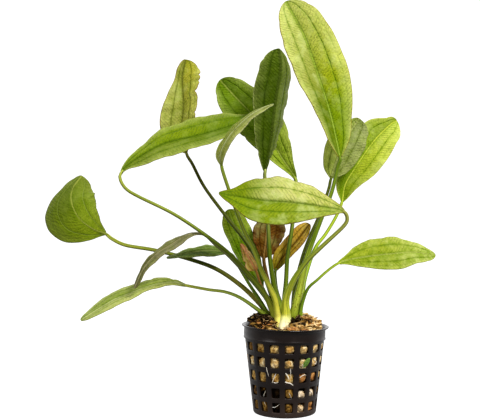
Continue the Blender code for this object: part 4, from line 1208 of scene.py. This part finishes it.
def build_roots():
    """White roots: drawn ones across the windows of the front, and others by chance round the back."""
    rng = np.random.default_rng(5)

    def at(turn, z, out):
        return tuple(polar(body_radius(z) + out, math.radians(turn - 90), z))

    routes = [([at(turn, z, ROOT_WEAVE * off + ROOT_CLEARANCE) for turn, z, off in places], radius)
              for places, radius in WINDOW_ROOTS]
    for _ in range(34):
        turn, z = rng.uniform(75, 290), rng.uniform(4, 40)
        places = []
        for _ in range(4):
            places.append(at(turn, z, -WALL - rng.uniform(0.1, 1.2)))
            turn, z = turn + rng.normal(0, 6), min(max(z + rng.normal(0, 2.4), 3.4), 41)
        routes.append((places, rng.uniform(0.12, 0.3)))
    points, faces = strands([(places, ROOT_THINNING * radius) for places, radius in routes], sides=7)
    look = root_look("white roots", ("#d8cbb0", "#f6f1e6"))
    piece("white_roots", points, faces, look, slot="growing_medium")


def build_crown():
    """The stalks' common foot: a short fleshy stock, ringed and cream, set in the medium."""
    turns = np.arange(48) / 48 * 2 * math.pi
    rings = []
    for r, z in ((9.5, 47.4), (10.2, 48.2), (9.6, 50.0), (8.2, 52.0), (7.0, 53.8), (5.6, 55.4), (3.6, 56.6),
                 (1.6, 57.1), (0.2, 57.2)):
        lobes = 1 + 0.07 * np.cos(5 * turns + z) + 0.05 * np.cos(9 * turns - 2 * z)
        rings.append(polar(r * lobes, turns, z) + (*CROWN_CENTRE, 0))
    look = root_look("crown flesh", ("#8c8a3c", "#d8d69a"))
    piece("crown_stock", *closed_rings(rings), look, node="root_crown")


def build_leaflet():
    """The small leaf that pokes out of a window, cupped across its midrib."""
    line, runs = smooth_line(((9.8, -19.4, 29.3), (10.7, -21.9, 31.9), (12.8, -23.9, 35.4)))
    share, side = np.linspace(0, 1, 26)[:, None], np.linspace(-1, 1, 13)[None, :]
    wide = 0.35 + 1.05 * np.sin(math.pi * np.minimum(share, 0.96) ** 1.15)
    points = (on_line(line, runs, share * runs[-1])
              + (side * wide)[..., None] * np.array((0.85, 0.35, -0.4))
              + (0.3 * side**2 * wide)[..., None] * np.array((0.25, -0.9, 0.3)))
    uvs = {"leaf": grid_pairs((side + 1) / 2, share),
           "millimetres": grid_pairs(side * wide, share * runs[-1])}
    look = leaf_look("leaflet", left=("#c0dc80", "#a0d060", "#94c454"),
                     right=("#c8e088", "#a8d468", "#94c454"), vein="#88b84c", rib="#b8e080",
                     edge="#a0cc60", sheen=0.1)
    sheet = piece("leaflet", points.reshape(-1, 3), grid_faces(26, 13), look, uvs, node="window_leaflet")
    thicken(sheet, LEAFLET_THICKNESS)


# The floor is a light table: bright to look at, and gentle in the light that it gives the plant,
# which grows from before the plant to behind it
FLOOR_SEEN = 1.05
FLOOR_LIGHT = (0.1, 1.1)
FLOOR_TONE = "#606060"

# Light from all round, then lamps: name, place in metres, diameter, watts
WORLD_LIGHT = 0.65
AREA_LIGHTS = (
    ("key", (0.5, -0.65, 0.9), 0.4, 17.5),
    ("fill", (-0.75, -0.7, 0.5), 0.6, 4.0),
)


def build_stage():
    """A pale round floor that sweeps up into its backdrop, in metres."""
    turns = np.arange(96) / 96 * 2 * math.pi
    profile = [(0.001, 0), (0.4, 0), (0.8, 0), (1.2, 0)]
    profile += [(1.2 + 0.8 * math.sin(a), 0.8 - 0.8 * math.cos(a))
                for a in np.linspace(0.15, math.pi / 2, 12)]
    profile += [(2.0, 1.6), (2.0, 2.4)]
    points = np.vstack([polar(r, turns, z) for r, z in profile])
    mesh = bpy.data.meshes.new("floor_sweep")
    mesh.from_pydata(points.tolist(), [], grid_faces(len(profile), len(turns), wrap=True).tolist())
    mesh.shade_smooth()
    paper = new_look("pale paper", Base_Color=FLOOR_TONE, Roughness=0.9, Emission_Color="#ffffff")
    place = add(paper, "TexCoord", out=3)
    fibre = add(paper, "TexNoise", place, Scale=PAPER_FIBRE / MM, Detail=2.0)
    seen = add(paper, "LightPath")
    given = add(paper, "MapRange", add(paper, "SeparateXYZ", place, out=1), -0.05, 0.5, *FLOOR_LIGHT)
    dress(paper, Normal=add(paper, "Bump", Strength=0.05, Distance=0.0002, Height=fibre),
          Emission_Strength=add(paper, "MixRGB", seen, given, (FLOOR_SEEN,) * 3 + (1,)))
    mesh.materials.append(paper)
    floor = bpy.data.objects.new("floor_sweep", mesh)
    bpy.context.scene.collection.objects.link(floor)


def build_lights():
    world = bpy.data.worlds.new("studio")
    bpy.context.scene.world = world
    world.use_nodes = True
    world.node_tree.nodes["Background"].inputs["Color"].default_value = (1, 1, 1, 1)
    world.node_tree.nodes["Background"].inputs["Strength"].default_value = WORLD_LIGHT
    bpy.context.scene.view_settings.view_transform = "Standard"
    target = Vector((-0.01, 0, 0.13))
    for name, place, size, power in AREA_LIGHTS:
        light = bpy.data.lights.new(name, "AREA")
        light.shape = "DISK"
        light.size = size
        light.energy = power
        obj = bpy.data.objects.new(name, light)
        obj.location = place
        obj.rotation_euler = (target - obj.location).to_track_quat("-Z", "Y").to_euler()
        bpy.context.scene.collection.objects.link(obj)


def build_camera():
    camera = bpy.data.cameras.new("camera")
    camera.sensor_width = SENSOR_WIDTH
    camera.lens = FOCAL_PIXELS / IMAGE_WIDTH * SENSOR_WIDTH
    camera.clip_start = 0.01
    obj = bpy.data.objects.new("camera", camera)
    obj.location = Vector(CAMERA_PLACE) * MM
    obj.rotation_euler = (math.radians(90 + CAMERA_UP_TILT), 0, 0)
    bpy.context.scene.collection.objects.link(obj)
    bpy.context.scene.camera = obj


build_camera()
build_lights()
build_stage()
chip_looks = {tone: chip_look("chips " + tone, *codes) for tone, codes in CHIP_TONES.items()}
build_pot(pot_look())
build_medium(chip_looks)
build_roots()
build_crown()
for index, (name, leaf) in enumerate(LEAVES.items()):
    build_leaf(index, name, leaf, BLADE_TONES[name])
build_leaflet()
